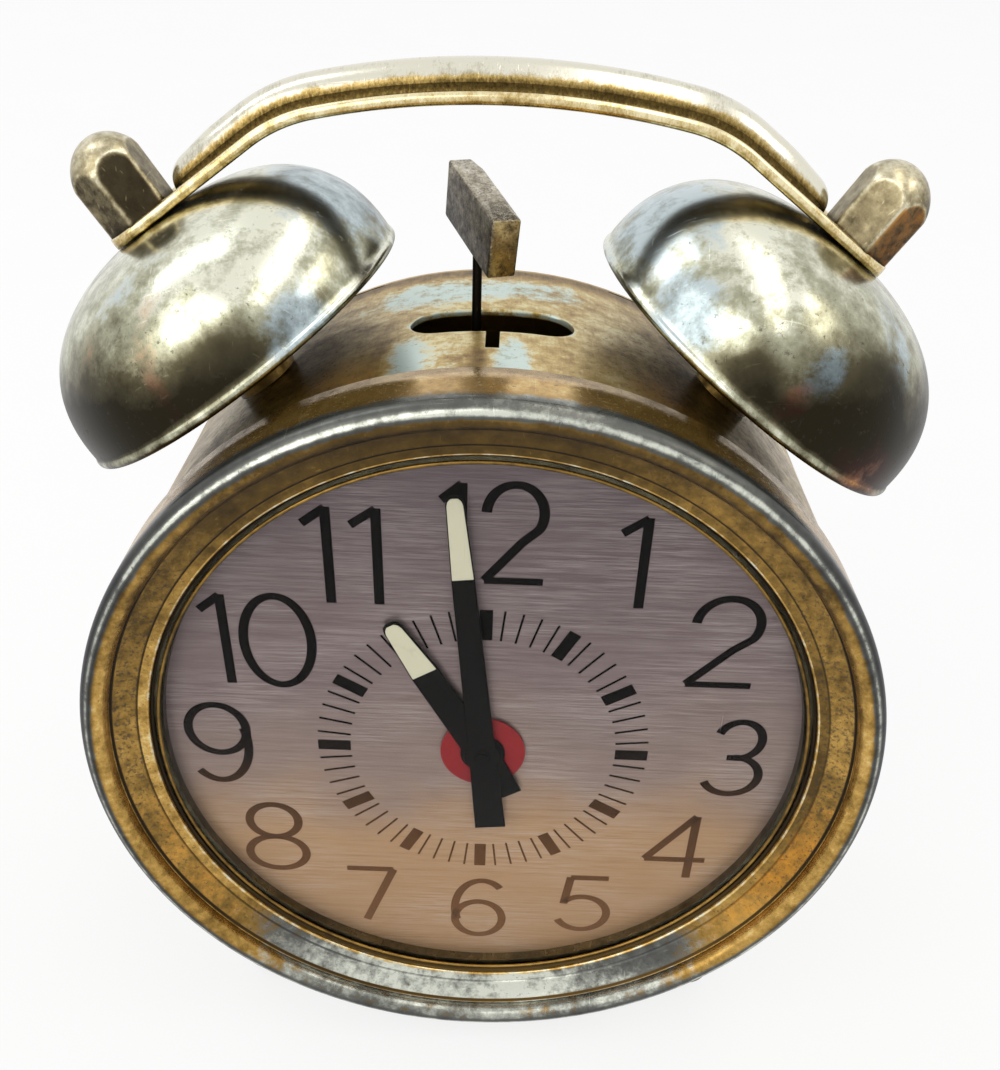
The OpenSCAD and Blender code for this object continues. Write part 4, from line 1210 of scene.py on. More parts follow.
    def uneven(self, points: Array) -> Array:
        """Gives the sheet its slight waves: the radius changes with angle and depth.

        The change is 0.05 mm and a little of a product of sines, and fades out at both ends.

        Args:
            points: Points of shape (n, 3).

        Returns:
            The moved points.
        """
        angle, radius = np.arctan2(points[:, 0], points[:, 2]), np.hypot(points[:, 0], points[:, 2])
        depth = points[:, 1]
        fade = smooth_step(depth, 3, 9) * smooth_step(-depth, -40, -34)
        wave = np.sin(4 * angle + 0.6) * np.sin(depth / 9 + 0.4) + np.sin(11 * angle + depth / 7)
        return about_y(radius - fade * (0.05 + 0.035 * wave), angle, depth)

    def build(self) -> None:
        """Builds the drum; its patches lie by arc length from the top and by depth."""
        patch = join(self.slot_patch(), self.rest_patch())
        rubbed = patch.marks["rubbed"]
        around = self.outer * np.arctan2(patch.points[:, 0], patch.points[:, 2])
        patch.marks = tinted(self.tint_patches, around, patch.points[:, 1])
        patch.marks["glow"] = np.maximum(patch.marks["glow"], rubbed)
        patch.marks["cool"] = np.maximum(patch.marks["cool"], rubbed * 0.6)
        patch.points = self.uneven(patch.points)
        Piece("drum_shell", Finish.DRUM, "case", "gilt_brass", ("case_drum",)).make(patch)


@dataclass(frozen=True)
class Bezel:
    """The front ring: a rolled rim, a stepped dish, a dark groove and a thin bright ring."""

    outer: float = 54.9
    roll: float = 1.79
    roll_y: float = -6.7
    skirt_back: float = 2.2
    wall: float = 0.7
    dish_r: float = 46.3
    dish_y: float = -3.3
    segments: int = 288
    rim_from: float = 52.5
    rim_to: float = 53.6
    crest_r: float = 53.8

    def parts(self) -> dict[str, Array]:
        """The ring's section [radius, y], in order, from the skirt's back edge and back to it."""
        centre = (self.outer - self.roll, self.roll_y)
        return {
            "skirt": np.array(
                [[self.outer - 0.2, self.skirt_back], [self.outer, self.skirt_back - 0.3],
                 [self.outer, -1.5], [self.outer, -4.2]]
            ),
            "roll": arc(centre, self.roll, 0, -205, 36),
            "groove": np.array([[51.35, -5.75], [51.2, -5.5]]),
            "dish": bezier([51.05, -5.42], [49.8, -4.5], [48.4, -4.18], 12),
            "step": np.array([[48.25, -4.02], [48.15, -3.92]]),
            "foot": bezier([48.05, -3.93], [47.5, -3.68], [47.0, -3.6], 7),
            "lip": arc((47.0, -3.3), 0.3, -95, -190, 6),
            "floor": np.array([[46.65, -2.95], [46.5, -2.78], [self.dish_r + 0.05, -2.74],
                               [self.dish_r, -2.7], [self.dish_r, -2.62], [46.45, -2.58]]),
            "under": bezier([46.8, -2.57], [49.0, -2.9], [50.9, -4.6], 8),
            "hollow": arc(centre, self.roll - self.wall, -190, 0, 14),
            "tail": np.array([[self.outer - self.wall, self.skirt_back]]),
        }

    def marks(self, angle: Array, names: Array, radius: Array, depth: Array) -> dict[str, Array]:
        """The ring's stains by clock angle and by part of the section.

        The rolled rim is plated, with painted dark reflections on both flanks and a painted
        highlight along its ridge, strongest above. The dish is brass, pitted and coppery on its
        flanks, with a painted dark reflection above, and silver and brightened where it faces up
        below. The groove, the step and the floor by the crystal get painted shade.

        Args:
            angle: Clock angle in degrees, from -180 to 180.
            names: Name of the part that each point belongs to.
            radius: Radius of each point.
            depth: Depth of each point.

        Returns:
            The marks.
        """

        def near(middle: float, width: float) -> Array:
            """A soft bump round a clock angle: exp(-(distance / width)^2)."""
            gap = (angle - middle + 180) % 360 - 180
            return np.exp(-((gap / width) ** 2))

        def part(name: str) -> Array:
            """1 on the points of that part and 0 elsewhere."""
            return (names == name) * 1.0

        roll, step, foot, lip = part("roll"), part("step"), part("foot"), part("lip")
        dish = part("dish") + foot + step
        rim = roll * smooth_step(radius, self.rim_from, self.rim_to)
        ridge_highlight = roll * (depth < self.roll_y) * np.exp(-(((radius - self.crest_r) / 0.28) ** 2))
        below, flanks = near(180, 48), near(-80, 42) + near(82, 40)

        cool = rim + lip * 0.4 + roll * 0.8 * smooth_step(below, 0.2, 0.7)
        cool = cool + dish * 0.95 * smooth_step(below, 0.18, 0.62)

        # Painted dark reflections on the plated roll, darkest on the left flank and lightest on
        # top.
        roll_dark_reflection = 0.55 + 0.4 * near(-80, 46) + 0.25 * near(75, 32) - 0.2 * near(0, 40)
        # Painted dark reflection on the dish above, and darker patches low on both sides.
        shade = 0.5 * near(-10, 52) + 0.45 * near(143, 16) + 0.35 * near(-135, 12)
        # The roll's inner side is darkened towards the top; the ridge keeps its painted highlight.
        dim = rim * roll_dark_reflection + (roll - rim) * (0.1 + 0.35 * near(0, 60)) - ridge_highlight * 0.8
        dim = dim + dish * shade + foot * 0.45 * near(88, 28)
        # Painted shade in the groove, on the step and on the floor by the crystal.
        dim = dim + part("groove") + step * 0.5 + part("floor") * 0.95

        # Painted highlight along the roll's ridge, strongest above.
        glow = ridge_highlight * (0.35 + 0.45 * near(-10, 45) + 0.2 * near(180, 50)) + lip * 0.5
        glow = glow + (roll - rim) * flanks * 0.5 + foot * 0.5 * near(-85, 32)
        glow = glow + dish * (0.3 * below + 0.4 * near(168, 9) + 0.3 * near(-165, 14))

        warm = dish * (0.8 * near(112, 22) + 0.5 * near(-115, 26)) * (1 - foot * 0.6)
        pitted = dish * flanks * (1 - foot * 0.5 * (angle < 0)) + part("skirt") * 0.25
        marks = {"cool": cool, "dim": dim, "glow": glow, "warm": warm, "pitted": pitted}
        return {name: np.clip(values, 0, 1) for name, values in marks.items()}

    def build(self) -> None:
        """Builds the ring and the bright line round the crystal."""
        parts = self.parts()
        section = np.concatenate(list(parts.values()))
        names = np.concatenate([[name] * len(part) for name, part in parts.items()])
        points = turned(section, self.segments)
        angle = np.degrees(np.arctan2(points[..., 0], points[..., 2]))
        marks = self.marks(angle, names[None], section[None, :, 0], section[None, :, 1])
        patch = grid(points, loop_rows=True, loop_cols=True, **marks)
        Piece("bezel_ring", Finish.BEZEL, "case", "gilt_brass", ("bezel",)).make(patch)
        line = turned(arc((45.6, -2.83), 0.26, 0, 330, 12), self.segments)
        bright = grid(line, loop_rows=True, loop_cols=True, dim=np.full(line.shape[:2], 0.3))
        Piece("crystal_line", Finish.BEZEL, "case", "gilt_brass", (), 60.0).make(bright)


@dataclass(frozen=True)
class CrystalDome:
    """The domed crystal, thick at its flat seat."""

    radius: float = 46.9
    seat: float = 45.2
    front: float = -2.55
    thick: float = 0.9
    dome: float = 3.0

    def build(self) -> None:
        """Builds the dome: each face's depth is front - dome (1 - (r / seat)^2)."""
        r = np.linspace(0, self.seat, 40)
        depth = self.front - self.dome * (1 - (r / self.seat) ** 2)
        face = np.stack([r, depth], axis=-1)
        edge = np.array(
            [[self.radius - 0.15, self.front], [self.radius, self.front + 0.15],
             [self.radius, self.front + self.thick - 0.15],
             [self.radius - 0.15, self.front + self.thick]]
        )
        back = face[::-1] + np.array([0, self.thick])
        points = turned(np.concatenate([face, edge, back]), 128)
        piece = Piece("crystal_dome", Finish.CRYSTAL, "case", "glass", ("crystal",), 60.0)
        piece.make(grid(points, loop_rows=True))


@dataclass(frozen=True)
class Bell:
    """A bell: a deep dome with a beaded rim."""

    side: Side
    radius: float = 24.2
    height: float = 17.2
    wall: float = 1.1
    shape: float = 2.4
    bead: float = 0.75
    hole: float = 2.1
    direction: float = 34.0
    base: float = 59.4
    depth: float = 22.0

    def axes(self) -> Axes:
        """The bell's frame: Z along the post and zero at the rim's plane."""
        turn = math.radians(self.direction)
        sign = self.side.value
        origin = (sign * self.base * math.sin(turn), self.depth, self.base * math.cos(turn))
        return Axes(origin, sign * self.direction)

    def section(self) -> tuple[Array, Array, Array]:
        """The bell's closed section.

        The dome is r = R cos(a)^(2/n) and h = H sin(a)^(2/n), from the bead to the hole, and the
        inner wall is the same curve set in by the wall.

        Returns:
            Points [radius, height], each point's share of the way from the hole to the rim, and
            1 for the points inside the bell.
        """
        end = math.acos((self.hole / self.radius) ** (self.shape / 2))
        a = np.linspace(0.02, end, 60)
        power = 2 / self.shape
        outer = np.stack(
            [self.radius * np.cos(a) ** power, self.height * np.sin(a) ** power], axis=-1
        )
        outer = outer[outer[:, 1] > 0.62]
        along = np.gradient(outer, axis=0)
        normal = np.stack([-along[:, 1], along[:, 0]], axis=-1)
        normal = normal / np.linalg.norm(normal, axis=1, keepdims=True)
        inner = outer + self.wall * normal
        inner = inner[inner[:, 0] > self.hole]
        inner = np.concatenate([inner, [[self.hole, self.height - self.wall]]])
        bead = arc((self.radius - 0.55, 0.1), self.bead, 145, 398, 22)
        walk = np.cumsum(np.linalg.norm(np.diff(outer, axis=0, prepend=outer[:1]), axis=1))
        share = np.concatenate([np.ones(len(bead)), 1 - walk / walk[-1], np.ones(len(inner))])
        inside = np.concatenate([np.zeros(len(bead) + len(outer)), np.ones(len(inner))])
        return np.concatenate([bead, outer, inner[::-1]]), share, inside

    def dented(self, points: Array) -> Array:
        """Presses a few shallow dents into the dome, all inwards.

        Each dent lowers the distance from the middle of the rim's plane by up to 0.2 mm, times
        exp(-(d / size)^2), where d is the distance from the dent's middle.

        Args:
            points: Points of the bell, with X, Y and Z in the last axis.

        Returns:
            The moved points.
        """
        dents = np.array(
            [[14.0, -13.0, 9.5, 0.2, 6.0], [-12.0, -15.0, 8.5, 0.16, 5.0],
             [2.0, -19.5, 7.0, 0.15, 4.5], [19.0, 4.0, 9.0, 0.14, 6.0],
             [-19.0, 3.0, 8.0, 0.15, 5.5], [6.0, 17.5, 8.5, 0.16, 6.0],
             [-4.0, -9.0, 14.5, 0.1, 5.0], [9.0, 2.0, 14.5, 0.1, 5.0]]
        ) * np.array([-self.side.value, 1, 1, 1, 1])
        middles, presses, sizes = dents[:, :3], dents[:, 3], dents[:, 4]
        gap = np.linalg.norm(points[..., None, :] - middles, axis=-1)
        press = (presses * np.exp(-((gap / sizes) ** 2))).sum(axis=-1)
        length = np.linalg.norm(points, axis=-1)
        return points * (1 - press / np.maximum(length, 1))[..., None]

    def tint_patches(self) -> tuple[TintPatch, ...]:
        """The bell's patches, in the plane that its dome unrolls to: the rim is at 1."""
        # Dim patches over the lower half paint dark reflections; glow streaks paint highlights.
        if self.side is Side.LEFT:
            return tint_patches_of(
                dim=(
                    (0.22, -0.88, 0.24, 0.15, 14, 1.0), (-0.5, -0.78, 0.42, 0.3, -35, 1.0),
                    (-0.85, -0.25, 0.25, 0.6, 0, 0.9), (0.0, -1.0, 0.9, 0.14, 0, 0.5),
                    (0.46, -0.2, 0.05, 0.34, -30, 0.5),
                ),
                pitted=((-0.2, -0.85, 0.9, 0.35, 0, 0.5),),
                warm=(
                    (-0.07, -0.85, 0.16, 0.07, 75, 0.6), (-0.28, -0.55, 0.15, 0.08, 30, 0.45),
                    (0.05, -0.62, 0.2, 0.12, 20, 0.35),
                ),
                glow=(
                    (0.21, -0.72, 0.14, 0.06, 15, 0.9), (0.3, -0.46, 0.3, 0.07, 26, 0.6),
                    (0.52, -0.55, 0.24, 0.1, 53, 0.6),
                ),
                cool=(
                    (0.6, -0.78, 0.24, 0.14, 40, 0.8), (0.72, 0.0, 0.28, 0.4, 0, 0.9),
                    (0.0, -0.45, 0.3, 0.1, 10, 0.4),
                ),
            )
        return tint_patches_of(
            dim=(
                (0.19, -0.88, 0.18, 0.13, 12, 1.0), (-0.31, -0.88, 0.14, 0.1, -20, 0.9),
                (0.23, -0.63, 0.16, 0.14, 0, 0.65), (0.68, -0.25, 0.3, 0.55, 0, 0.75),
                (0.2, -0.76, 0.55, 0.24, 0, 0.7), (-0.05, -0.95, 0.3, 0.06, 0, 0.5),
            ),
            pitted=((0.1, -0.8, 0.8, 0.4, 0, 0.5),),
            warm=(
                (-0.08, -0.9, 0.13, 0.08, 60, 0.7), (0.52, -0.8, 0.26, 0.13, 35, 1.0),
            ),
            glow=(
                (0.54, -0.78, 0.22, 0.1, 35, 0.8), (-0.37, -0.5, 0.26, 0.1, -62, 0.7),
                (-0.2, -0.57, 0.12, 0.05, -48, 0.35), (-0.43, -0.74, 0.1, 0.07, -30, 0.9),
                (-0.8, -0.35, 0.12, 0.2, 0, 0.4),
            ),
            cool=(
                (-0.75, -0.15, 0.3, 0.4, 0, 0.8), (-0.02, -0.75, 0.09, 0.15, -15, 0.7),
                (-0.6, -0.7, 0.2, 0.14, -45, 0.8), (0.2, -0.4, 0.3, 0.12, -60, 0.5),
            ),
        )

    def build(self) -> None:
        """Builds the bell; its rim is rubbed bright and its inside gets painted shade."""
        segments = 240
        section, share, inside = self.section()
        turn = round_steps(segments)
        marks = tinted(self.tint_patches(), share * np.cos(turn), share * np.sin(turn))
        rim = np.exp(-((section[:, 1] / 0.7) ** 2))[None, :] * (1 - inside)
        marks["glow"] = np.maximum(marks["glow"] * (1 - inside), rim * 0.7)
        # Painted shade: the inside of the bell is darkened.
        marks["dim"] = np.maximum(marks["dim"] * (1 - rim), inside * 0.55)
        points = self.axes().case(self.dented(spindle(section, segments)))
        patch = grid(points, loop_rows=True, loop_cols=True, **marks)
        name = f"{self.side.word}_bell"
        Piece(f"{name}_dome", Finish.BELL, "case", "bell_metal", (name,)).make(patch)


@dataclass(frozen=True)
class AcornNut:
    """A tall hexagon nut whose top is rounded off by a sphere."""

    bell: Bell
    flats: float = 8.6
    height: float = 10.0
    strip: float = 0.9
    edge_worn: float = 0.16
    sharpness: float = 48.0
    steps: int = 180

    def profile(self) -> tuple[Array, Array]:
        """The heights up the nut and the sphere's radius at each.

        The radius is the sphere's reach up to the shoulder, a little less at the foot, and the
        root of reach^2 - rise^2 above the shoulder.

        Returns:
            The heights and the radii, each as a row.
        """
        reach = self.flats / 2 / math.cos(EDGE_OF_FLAT)
        shoulder = self.height - reach
        rise = np.radians(np.linspace(2, 90, 40))
        height = [[0, 0.25, 0.6], np.linspace(1, shoulder, 8), shoulder + reach * np.sin(rise)]
        sphere = [[reach - 0.35, reach, reach], np.full(8, reach), reach * np.cos(rise)]
        return np.concatenate(height)[None], np.concatenate(sphere)[None]

    def radius(self, hexagon: Array, sphere: Array) -> Array:
        """Blends both forms by a mean of a high negative power, which softens the edges.

        Args:
            hexagon: The hexagon's radius at each angle, as a column.
            sphere: The sphere's radius at each height, as a row.

        Returns:
            The nut's radius, never more than either form's, and zero at the sphere's pole.
        """
        pole = 0.02
        scale = np.maximum(sphere, pole)
        mean = (((hexagon / scale) ** -self.sharpness + 1) / 2) ** (-1 / self.sharpness) * scale
        return np.minimum(mean, np.minimum(hexagon, sphere)) * np.where(sphere < pole, 0, 1)

    def marks(
        self, angles: Array, from_edge: Array, hexagon: Array, height: Array, sphere: Array
    ) -> dict[str, Array]:
        """Rubs the edges bright; paints light on the top, and shade on the front facets and foot.

        Args:
            angles: Angles round the nut, as a column.
            from_edge: Angle of each from the nearest of the hexagon's edges.
            hexagon: The hexagon's radius at each angle.
            height: Heights up the nut, as a row.
            sphere: The sphere's radius at each height.

        Returns:
            The marks.
        """
        left = self.bell.side is Side.LEFT
        facet = np.degrees(angles)
        front = np.abs(facet - (300 if left else 240)) < 30
        beside = np.abs(facet - 300) < 30
        body = 1 - smooth_step(hexagon - sphere, -0.12, 0.1)
        corner = np.exp(-(from_edge**2) / 0.0035) * (sphere > hexagon - 0.2)
        edge = np.clip(corner + np.exp(-((hexagon - sphere) ** 2) / 0.012), 0, 1)
        foot = np.exp(-((height / 0.5) ** 2)) * 0.8
        # Painted shade on the facet that faces the front, and on the foot below.
        tint_patch = np.clip(body * (0.5 if left else 0.2) * front * (1 - edge), 0, 1)
        return {
            # Painted light: the top is brightened.
            "glow": np.clip(edge * 0.75 + smooth_step(height, 6.0, 9.6) * 0.45, 0, 1),
            "dim": np.maximum(tint_patch, foot),
            "warm": body * beside * (0.0 if left else 0.7),
        }

    def build(self) -> None:
        """Builds the nut: its radius is about the smaller of the hexagon's and the sphere's.

        The hexagon's radius is apothem / cos(angle from the nearest flat), a little less where
        its edges are worn.
        """
        angles = round_steps(self.steps)
        nearest = np.abs((angles + EDGE_OF_FLAT) % (2 * EDGE_OF_FLAT) - EDGE_OF_FLAT)
        from_edge = nearest - EDGE_OF_FLAT
        hexagon = self.flats / 2 / np.cos(nearest)
        hexagon = hexagon - self.edge_worn * np.exp(-(from_edge**2) / 0.0022)
        height, sphere = self.profile()
        points = about_z(self.radius(hexagon, sphere), angles, height)
        base = points[:, :1] * np.array([0.0, 0.0, 1.0])
        points = np.concatenate([base, points], axis=1)
        marks = self.marks(angles, from_edge, hexagon, height, sphere)
        marks = {name: np.concatenate([m[:, :1], m], axis=1) for name, m in marks.items()}
        points = points + np.array([0, 0, self.bell.height + self.strip])
        patch = grid(self.bell.axes().case(points), loop_rows=True, **marks)
        word = self.bell.side.word
        stands_for = (f"{word}_bell_nut",)
        Piece(f"{word}_acorn_nut", Finish.NUT, "case", "nut_metal", stands_for, 50.0).make(patch)


@dataclass(frozen=True)
class Handle:
    """The carrying handle: a strip with a rolled rib, bent over both bells."""

    arch_r: float = 111.0
    arch_half: float = 11.0
    shoulder_r: float = 20.0
    slope: float = 34.0
    tab_height: float = 76.6
    depth: float = 22.0
    half: float = 5.0
    strip: float = 0.9
    rib: float = 3.0
    rib_wall: float = 0.8
    rib_end: float = 8.6
    edge: float = 0.62
    fillet: float = 0.6
    lift: float = 0.08

    def half_path(self) -> tuple[Array, Array, Array]:
        """The right half of the handle's underside.

        The tab is tangent to the circle of the tab's height at the slope's angle, and the arch
        is as high as its arc and the shoulder's arc make it when they meet the tab.

        Returns:
            Points [x, z], outward normals, and how far each point is before the tab's middle.
        """
        slope, arch_half = math.radians(self.slope), math.radians(self.arch_half)
        drop = self.shoulder_r * (1 - math.cos(slope - arch_half))
        reach = self.arch_r * math.sin(arch_half) * math.sin(slope)
        under = (self.tab_height - drop - reach) / math.cos(slope)
        centre = np.array([0, under - self.arch_r * math.cos(arch_half)])
        turn = np.array([math.sin(arch_half), math.cos(arch_half)])
        shoulder_at = centre + (self.arch_r - self.shoulder_r) * turn
        downhill = np.array([math.cos(slope), -math.sin(slope)])
        end = shoulder_at + self.shoulder_r * self.outward(90 - self.slope)
        run = float(np.linalg.norm(self.tab_height * self.outward(90 - self.slope) - end))
        top = np.linspace(90, 90 - self.arch_half, 40, endpoint=False)
        bend = np.linspace(90 - self.arch_half, 90 - self.slope, 26, endpoint=False)
        nose = self.rib_end - self.rib * np.sin(np.linspace(0, math.pi / 2, 14))
        tip = -self.half * np.sin(np.linspace(0, math.pi / 2, 16))
        leg = np.linspace(run, self.rib_end, 12, endpoint=False)
        before = np.concatenate([leg, nose, np.linspace(5.2, 0.8, 5), tip])
        arch = centre + self.arch_r * self.outward(top)
        shoulder = shoulder_at + self.shoulder_r * self.outward(bend)
        straight = end + (run - before)[:, None] * downhill
        normals = self.outward(np.concatenate([top, bend, np.full(len(before), 90 - self.slope)]))
        far = np.full(len(top) + len(bend), run + 1)
        return np.concatenate([arch, shoulder, straight]), normals, np.concatenate([far, before])

    @staticmethod
    def outward(degrees: Array) -> Array:
        """Unit vectors [cos a, sin a]."""
        turn = np.radians(degrees)
        return np.stack([np.cos(turn), np.sin(turn)], axis=-1)

    def section(self, swell: Array, width: Array) -> tuple[Array, Array, dict[str, Array]]:
        """The strip's closed section for each place along it.

        Across the top it runs round one edge bead, along the flange, up a fillet, over the rib's
        arc and down again; underneath it follows the rib's hollow.

        Args:
            swell: The rib's size from 0 to 1 at each place.
            width: Half of the strip's width at each place.

        Returns:
            Heights and offsets across, each of shape (places, points of the section), and the
            marks of the section's points.
        """
        k, w = swell[:, None], width[:, None] / self.half
        turn = np.radians(np.linspace(-75, 105, 12))[None]
        share = np.linspace(0, 1, 6)[None, 1:]
        rise = np.radians(np.linspace(18, 90, 16))[None]
        lift, hollow = self.lift * k, self.rib - self.rib_wall
        foot = self.rib * k + self.fillet * k
        flange = self.half - 0.95
        flange_y = flange + (foot - flange) * share
        bead_h = 0.6 + (self.edge + 0.06) * np.sin(turn) + 0 * k
        bead_y = self.half - self.edge + self.edge * np.cos(turn) + 0 * k
        flange_h = self.strip - 0.12 * np.sin(math.pi * share) + 0 * flange_y
        fillet_h = self.strip + (lift + 0.9 * k) * share**2
        fillet_y = foot - self.fillet * k * (1 - (1 - share) ** 2)
        rib_h = self.strip + lift + self.rib * k * np.sin(rise)
        rib_y = self.rib * k * np.cos(rise)
        over_h = np.concatenate([bead_h, flange_h, fillet_h, rib_h], axis=1)
        over_y = np.concatenate([bead_y, flange_y, fillet_y, rib_y], axis=1)
        roof = self.strip + lift + hollow * k * np.sin(rise) - 0.9 * (1 - k)
        under_h = np.concatenate([roof, (1 - share) * self.strip * k, 0 * k], axis=1)
        side = [hollow * k * np.cos(rise), hollow * k + 0 * share, self.half - 0.75 + 0 * k]
        under_y = np.concatenate(side, axis=1)[:, ::-1]
        under_h = np.maximum(under_h[:, ::-1], 0)
        heights = np.concatenate([mirrored(over_h), mirrored(under_h)], axis=1)
        across = np.concatenate([mirrored(over_y, -1), mirrored(-under_y, -1)], axis=1)

        bead, level, climb, top = 0 * turn[0], 0 * share[0], 0 * share[0], 0 * rise[0]
        crown = [bead, level, climb + 0.1, smooth_step(rise[0], 0.3, 0.8)]
        groove = [bead, level + 0.75, climb + 0.95, 0.8 * smooth_step(-rise[0], -0.75, -0.3)]
        crown, groove = np.concatenate(crown), np.concatenate(groove)
        lip = np.concatenate([bead + 1, level, climb, top])
        below = np.zeros(2 * under_h.shape[1] - 1)
        rows = {
            "cool": np.concatenate([mirrored(crown), below]),
            "dim": np.concatenate([mirrored(groove), below + 0.3]),
            "glow": np.concatenate([mirrored(lip * 0.45 + crown * 0.35), below]),
        }
        marks = {name: row[None] + 0 * heights for name, row in rows.items()}
        flat = 1 - np.clip(k * 2, 0, 1)
        marks["dim"] = marks["dim"] * (1 - flat * 0.6)
        marks["cool"] = marks["cool"] * (1 - flat * 0.5)
        return heights, across * w, marks

    def build(self) -> None:
        """Builds the handle: the section is carried along the path from tab to tab."""
        right, normal, before = self.half_path()
        mirror = np.array([-1, 1])
        path = np.concatenate([right[:0:-1] * mirror, right])
        out = np.concatenate([normal[:0:-1] * mirror, normal])
        left = np.concatenate([before[:0:-1], before])
        swell = np.sqrt(np.clip(1 - (np.maximum(self.rib_end - left, 0) / self.rib) ** 2, 0, 1))
        swell = swell * (1 - 0.16 * smooth_step(-left, -14, -7))
        width = np.sqrt(np.maximum(self.half**2 - np.minimum(left, 0) ** 2, 1e-4))
        heights, across, marks = self.section(swell, width)
        flat = path[:, None] + heights[..., None] * out[:, None]
        points = np.stack([flat[..., 0], self.depth + across, flat[..., 1]], axis=-1)
        marks = {name: np.concatenate([m[:1], m, m[-1:]]) for name, m in marks.items()}
        patch = grid(capped(points), loop_cols=True, **marks)
        piece = Piece("carrying_handle", Finish.HANDLE, "case", "handle_metal", ("handle",), 45.0)
        piece.make(patch)


@dataclass(frozen=True)
class Hammer:
    """The hammer: a thin rod and a flat steel head, twisted and dipped."""

    arbor: tuple[float, float] = (-2.6, 30.0)
    depth: float = 22.0
    head_at: tuple[float, float, float] = (-2.2, 22.0, 65.6)
    thick: float = 3.6
    length: float = 16.0
    height: float = 6.8
    twist: float = 22.0
    dip: float = 12.0
    rod: float = 0.6

    def head(self) -> Patch:
        """The head: a bevelled block with one corner ground off; its left face gets painted shade.

        Returns:
            The patch, twisted and dipped at its place on the rod.
        """
        t, half, top_z = self.thick / 2, self.length / 2, self.height / 2
        corners = np.array([[-t, -half], [t, -half], [t, 5.0], [1.17, half], [-t, half]])
        points = block(rounded(corners, 0.35), -top_z, top_z, 0.3)
        x, y, z = points[..., 0], points[..., 1], points[..., 2]
        side = np.exp(-((x + t) ** 2) / 0.05)
        front = np.exp(-((y + half) ** 2) / 0.05) * (1 - side)
        top = (np.abs(z) > top_z - 0.02) * 1.0
        near = np.minimum(t - np.abs(x), half - np.abs(y))
        edge = np.exp(-(near**2) / 0.05) * top + np.exp(-((np.abs(z) - top_z + 0.2) ** 2) / 0.03)
        marks = {
            # Painted shade on the left face, and painted light on the top; the edges are
            # brightened.
            "dim": np.clip(side * 0.75 - edge * 0.5, 0, 1),
            "glow": np.clip(edge * 0.5 + top * 0.15, 0, 1),
            "warm": np.clip(front, 0, 1),
            "pitted": 0.7 + 0 * side,
        }
        twist = Matrix.Rotation(math.radians(self.twist), 3, "Z")
        turn = twist @ Matrix.Rotation(math.radians(self.dip), 3, "X")
        placed = points @ np.array(turn).T + np.array(self.head_at)
        return grid(placed, loop_cols=True, **marks)

    def stem(self) -> Patch:
        """The rod and the hub on its arbor, turned about their common axis."""
        low, high = 1.2, self.head_at[2] - self.arbor[1] - 1.0
        profile = np.array(
            [[0, low], [1.5, low], [1.5, low + 0.3], [1.3, low + 1.4], [self.rod, low + 2.0],
             [self.rod, 18.0], [self.rod, high - 3.2], [self.rod + 0.35, high - 2.9],
             [self.rod + 0.35, high], [0, high]]
        )
        points = spindle(profile, 24) + np.array([self.arbor[0], self.depth, self.arbor[1]])
        return grid(points, loop_rows=True, dim=np.full(points.shape[:2], 0.95))

    def hub(self) -> Patch:
        """The hub round the arbor, a bevelled barrel along Y."""
        profile = np.array(
            [[0.85, -1.5], [1.7, -1.5], [1.9, -1.3], [1.9, 1.3], [1.7, 1.5], [0.85, 1.5]]
        )
        points = turned(profile, 40) + np.array([self.arbor[0], self.depth, self.arbor[1]])
        return grid(points, loop_rows=True, loop_cols=True)

    def build(self) -> None:
        """Builds the hammer."""
        patch = join(self.head(), self.stem(), self.hub())
        piece = Piece("hammer_head", Finish.HAMMER, "hammer", "hammer_steel", ("hammer_arm",), 32.0)
        piece.make(patch)


